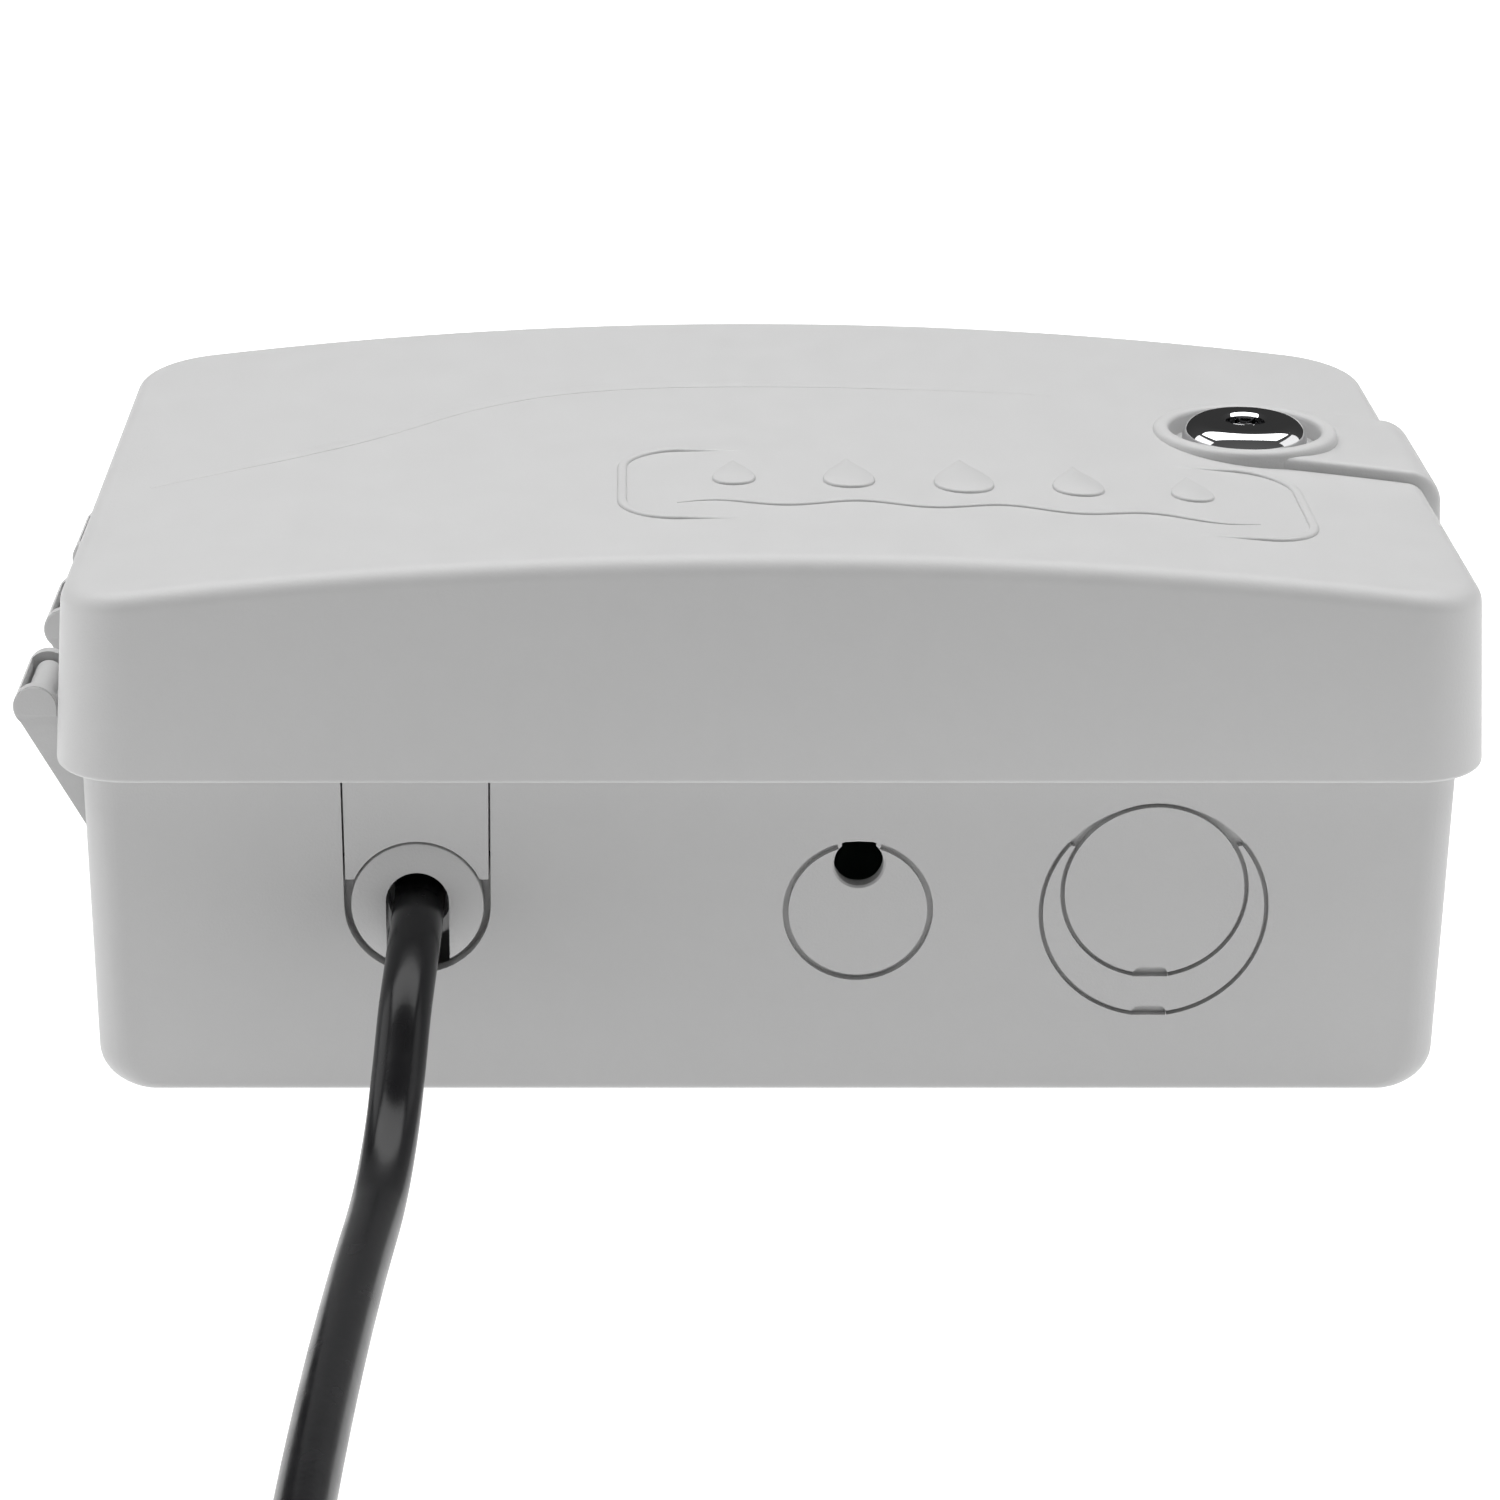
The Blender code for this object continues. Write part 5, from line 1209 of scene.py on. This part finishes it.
def key_mark(bm, name, x):
    """The raised mark on a key: arrows, minus, plus and a drop."""
    low, high = 61.45, 61.78
    if name in ("back", "next"):
        way = -1 if name == "back" else 1
        points = [(x + way * 2.2, KEY_Y), (x - way * 1.5, KEY_Y + 2.2), (x - way * 1.5, KEY_Y - 2.2)]
        prism(bm, points, low, high)
    elif name == "manual":
        points = [(x + px * 0.34, KEY_Y + py * 0.34) for px, py in drop_outline(0, 0, 11, 15)]
        prism(bm, points, low, high)
    else:
        prism(bm, box_outline(x - 2.2, x + 2.2, KEY_Y - 0.42, KEY_Y + 0.42), low, high)
        if name == "plus":
            prism(bm, box_outline(x - 0.42, x + 0.42, KEY_Y + 0.4, KEY_Y + 2.2), low, high)
            prism(bm, box_outline(x - 0.42, x + 0.42, KEY_Y - 2.2, KEY_Y - 0.4), low, high)


def make_keys():
    shape = [
        (6.3, 53.85), (6.45, 54.1), (6.45, 55.75), (7.7, 55.75), (7.75, 57.05), (6.45, 57.08), (6.45, 60.7),
        (6.35, 61.2), (6.05, 61.55), (5.6, 61.72), (5.1, 61.75), (4.0, 61.62), (2.4, 61.53), (0.6, 61.5),
    ]
    for name, x in KEYS.items():
        rings = [level(ellipse(x, KEY_Y, r, steps=56), z) for r, z in shape]
        key = loft_piece(f"{name}_key", rings, KEY, f"key_{name}", smooth=40)
        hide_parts(f"button_{name}")
        bm = bmesh.new()
        key_mark(bm, name, x)
        finish_mesh(f"{name}_key_mark", bm, PRINT_DARK, f"key_{name}", "key_rubber", 30)


def make_knob():
    """The dial: a milled skirt with a fluted grip and a pointer."""
    z0 = PANEL_Z + 0.5
    shape = [
        (19.6, 0.02, 0.0, 48), (19.95, 0.3, 0.25, 48), (19.95, 1.9, 0.25, 48), (19.7, 2.3, 0.1, 48),
        (18.8, 2.9, 0.0, 9), (14.6, 4.0, 0.0, 9), (13.2, 4.5, 0.0, 9), (12.7, 4.9, 0.3, 9),
        (12.45, 5.4, 0.9, 9), (11.8, 11.4, 0.9, 9), (11.5, 12.3, 0.7, 9), (10.9, 12.85, 0.35, 9),
        (10.1, 12.98, 0.0, 9), (9.4, 12.85, 0.0, 9), (8.9, 12.6, 0.0, 9), (0.6, 12.6, 0.0, 9),
    ]
    rings = []
    for radius, z, depth, flutes in shape:
        ring = []
        for i in range(288):
            a = 2 * math.pi * i / 288
            r = radius - depth * (0.5 + 0.5 * math.cos(flutes * a + math.pi)) ** 2
            ring.append((DIAL_X + r * math.cos(a), DIAL_Y + r * math.sin(a), z0 + z))
        rings.append(ring)
    knob = loft_piece("dial_knob_grip", rings, KNOB, "dial", smooth=40)
    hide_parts("dial_knob")
    bm = bmesh.new()
    section = [(13.0, 4.35), (13.0, 4.75), (18.7, 3.15), (19.3, 2.75), (19.3, 2.2), (18.7, 2.6)]
    prism(bm, [(DIAL_Y + y, z0 + z) for y, z in section], DIAL_X - 0.5, DIAL_X + 0.5, "yz")
    prism(bm, box_outline(DIAL_X - 0.5, DIAL_X + 0.5, DIAL_Y + 2.0, DIAL_Y + 8.6), z0 + 12.4, z0 + 12.75)
    finish_mesh("dial_pointer", bm, PRINT_WHITE, "dial", "knob_plastic", 30)


def make_slider():
    section = [
        (31.15, 53.95), (35.85, 53.95), (35.85, 61.0), (35.4, 61.3), (35.2, 60.9), (34.6, 61.5), (34.2, 61.1),
        (33.5, 61.55), (32.8, 61.1), (32.4, 61.5), (31.8, 60.9), (31.6, 61.3), (31.15, 61.0),
    ]
    slider = prism_piece("slider_ribbed", section, 48.05, 51.95, "xz", BLACK, "sensor_slide", smooth=30)
    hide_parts("sensor_slider")


# Which of the seven bars each figure lights, from the top clockwise with the middle one last
FIGURE_BARS = {"1": (1, 2), "0": (0, 1, 2, 3, 4, 5), "2": (0, 1, 6, 4, 3), "8": (0, 1, 2, 3, 4, 5, 6)}


def add_figure(bm, figure, x, y, width, height, z0, z1):
    half, t = height / 2, 0.9
    bars = [
        ((x, y + height), (x + width, y + height)), ((x + width, y + half), (x + width, y + height)),
        ((x + width, y), (x + width, y + half)), ((x, y), (x + width, y)), ((x, y), (x, y + half)),
        ((x, y + half), (x, y + height)), ((x, y + half), (x + width, y + half)),
    ]
    for index in FIGURE_BARS[figure]:
        a, b = Vector(bars[index][0]), Vector(bars[index][1])
        along = (b - a).normalized()
        side = Vector((-along.y, along.x))
        a, b = a + along * 0.35, b - along * 0.35
        corners = [
            a, a + (along + side) * t, b + (side - along) * t, b, b - (side + along) * t,
            a + (along - side) * t,
        ]
        prism(bm, [(c.x, c.y) for c in corners], z0, z1)


def make_screen():
    x, y = SCREEN_X, SCREEN_Y
    outline = centred_rectangle(x, y, 39.9, 18.9, 0.9, 4)
    body = prism_piece("lcd_body", outline, 47.95, 56.7, "xy", CHIP, "case", "lcd_glass", 30)
    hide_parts("lcd_module")
    outline = centred_rectangle(x, y, 37, 16.4, 0.5, 3)
    prism_piece("lcd_sheet", outline, 56.7, 56.95, "xy", LCD, "case", smooth=30)
    bm = bmesh.new()
    outer, inner = centred_rectangle(x, y, 39.7, 18.7, 1.0, 5), centred_rectangle(x, y, 35.8, 15.2, 1.2, 5)
    ring_band(bm, outer, inner, 56.6, 57.15)
    finish_mesh("lcd_bezel", bm, STEEL, "case", "lcd_glass", 30)
    bm = bmesh.new()
    for figure, dx in zip("1208", (-26.0, -12.0, 5.0, 19.0)):
        add_figure(bm, figure, x + dx, y - 4.5, 8.5, 16.0, 56.93, 57.02)
    for dy in (0.5, 6.5):
        prism(bm, arc((x + 0.8, y + dy), 0.9, 0, 345, 23), 56.93, 57.02)
    for i in range(8):
        left = x - 31.0 + i * 8.0
        prism(bm, rounded_rectangle(left, left + 5.6, y - 12.5, y - 9.3, 0.5, 3), 56.93, 57.02)
    finish_mesh("lcd_figures", bm, PRINT_DARK, "case", "lcd_glass", 30)


make_panel()
make_panel_print()
make_keys()
make_knob()
make_slider()
make_screen()


# ---------------------------------------------------------------- terminals and board parts


SCREW_Y = 32.4


def make_terminals():
    """The green terminal block with ten wells, wire entries and slotted screws."""
    top = BOARD_Z + 10.95
    outline = [
        (25.05, BOARD_Z + 0.32), (36.95, BOARD_Z + 0.32), (36.95, top - 0.5), (36.5, top), (28.6, top),
        (27.8, top - 1.8), (25.05, top - 3.6),
    ]
    block = prism_piece("terminal_housing", outline, 0.05, 79.95, "yz", TERMINAL, smooth=0)
    columns = [4.0 + 8.0 * i for i in range(10)]
    tools = []
    for i, x in enumerate(columns):
        entry = rounded_rectangle(x - 1.8, x + 1.8, BOARD_Z + 1.8, BOARD_Z + 5.4, 0.5, 3)
        tools.append(drill(f"well_{i}", 2.6, 2, -5.4, placed(x, SCREW_Y, top), 28))
        tools.append(prism_helper(f"entry_{i}", entry, 24, 31, "xz"))
        if i:
            tools.append(box_helper(f"seam_{i}", x - 4.15, x - 3.85, 24.0, 40.0, top - 0.6, top + 1))
    cut(block, tools, 25)
    soften(block, 0.12, 1)
    attach(block, "case", "terminal_block")
    bm = bmesh.new()
    for x in columns:
        head = bmesh.new()
        spin(head, [(0.0, 1.1), (1.9, 1.1), (2.25, 0.75), (2.25, 0.0), (0.0, 0.0)], 28)
        head.transform(placed(x, SCREW_Y, top - 5.0))
        mesh = bpy.data.meshes.new("head")
        head.to_mesh(mesh)
        head.free()
        bm.from_mesh(mesh)
        bpy.data.meshes.remove(mesh)
    screws = finish_mesh("terminal_screw_heads", bm, STEEL, smooth=0)
    slots = [
        box_helper(f"slot_{i}", x - 2.6, x + 2.6, SCREW_Y - 0.35, SCREW_Y + 0.35, top - 4.5, top)
        for i, x in enumerate(columns)
    ]
    cut(screws, slots, 30)
    attach(screws, "case")


def chip(bm_body, bm_legs, x, y, width, depth, height, pins):
    """A chip and its two rows of bent legs. The legs' section is given outwards from the chip's side."""
    outline = box_outline(x - width / 2, x + width / 2, y - depth / 2, y + depth / 2)
    prism(bm_body, outline, BOARD_Z + 0.35, BOARD_Z + 0.35 + height)
    leg = [
        (-0.2, height * 0.6), (0.5, height * 0.6), (0.7, 0.25), (1.3, 0.25), (1.3, 0.02), (0.5, 0.02),
        (0.3, height * 0.45), (-0.2, height * 0.45),
    ]
    for i in range(pins):
        px = x - width / 2 + width * (i + 0.5) / pins
        for side in (-1, 1):
            near = y + side * depth / 2
            section = [(near + side * out, BOARD_Z + up) for out, up in leg]
            prism(bm_legs, section, px - 0.22, px + 0.22, "yz")


def make_board_parts():
    """The parts on the strip of board that shows in front of the panel."""
    bodies, legs = bmesh.new(), bmesh.new()
    for sizes in (
        (-12.0, 31.0, 12.0, 4.4, 1.8, 7), (-30.0, 33.0, 9.0, 4.0, 1.6, 5), (-30.0, 26.0, 5.0, 3.9, 1.5, 3),
    ):
        chip(bodies, legs, *sizes)
    for i in range(6):
        prism(bodies, box_outline(81.6, 85.8, 24.0 + 2.4 * i, 25.6 + 2.4 * i), BOARD_Z + 0.02, BOARD_Z + 0.6)
    finish_mesh("board_chips", bodies, CHIP, "case", "black_plastic", 30)
    finish_mesh("board_chip_legs", legs, STEEL, "case", smooth=30)
    cans = ((-42.0, 30.0, 4.0, 8.6), (-51.5, 30.5, 3.2, 7.6), (-50.5, 36.6, 2.0, 5.0))
    for index, (x, y, radius, height) in enumerate(cans, 1):
        profile = [
            (0.0, height), (radius * 0.8, height), (radius, height - 0.5), (radius, height - 1.1),
            (radius - 0.3, height - 1.4), (radius, height - 1.8), (radius, 0.3), (radius - 0.3, 0.02),
            (0.0, 0.02),
        ]
        spun_piece(f"capacitor_{index}", profile, placed(x, y, BOARD_Z), CHIP, "case", "black_plastic", 36)
    half = [(0.95, 1.5), (1.15, 1.9), (1.15, 2.6), (0.9, 3.2), (0.0, 3.2)]
    profile = [(radius, -z) for radius, z in half[::-1]] + half
    lead = [(3.0, 1.05), (5.0, 1.05), (5.0, 0.02), (5.5, 0.02), (5.5, 1.55), (3.0, 1.55)]
    y = 31.0
    bm = bmesh.new()
    for index in range(1, 6):
        x = -90.0 + 6.0 * index
        place = placed(x, y, BOARD_Z + 1.3, 90)
        spun_piece(f"resistor_{index}", profile, place, CERAMIC, "case", "panel_grey", 24)
        for side in (-1, 1):
            prism(bm, [(y + side * out, BOARD_Z + up) for out, up in lead], x - 0.25, x + 0.25, "yz")
    finish_mesh("resistor_wires", bm, STEEL, "case", smooth=30)


make_terminals()
make_board_parts()


# ---------------------------------------------------------------- finishes of the CAD nodes that show


FINISHES = {
    STEEL: (
        "hinge_pin_near", "hinge_pin_middle", "hinge_pin_far", "lock_cam", "lock_strike",
        "transformer_bracket", "dial_shaft", "sensor_switch", "coin_cell",
    ),
    BLACK: ("dial_encoder", "button_switches", "cell_holder"), CORE: ("transformer_core",),
    CLEAR: ("display_window",), BOARD: ("circuit_board",), BRASS: ("plug_contacts",),
}
for finish, node_names in FINISHES.items():
    for node_name in node_names:
        for finish_slot in NODES[node_name].material_slots:
            finish_slot.material = finish
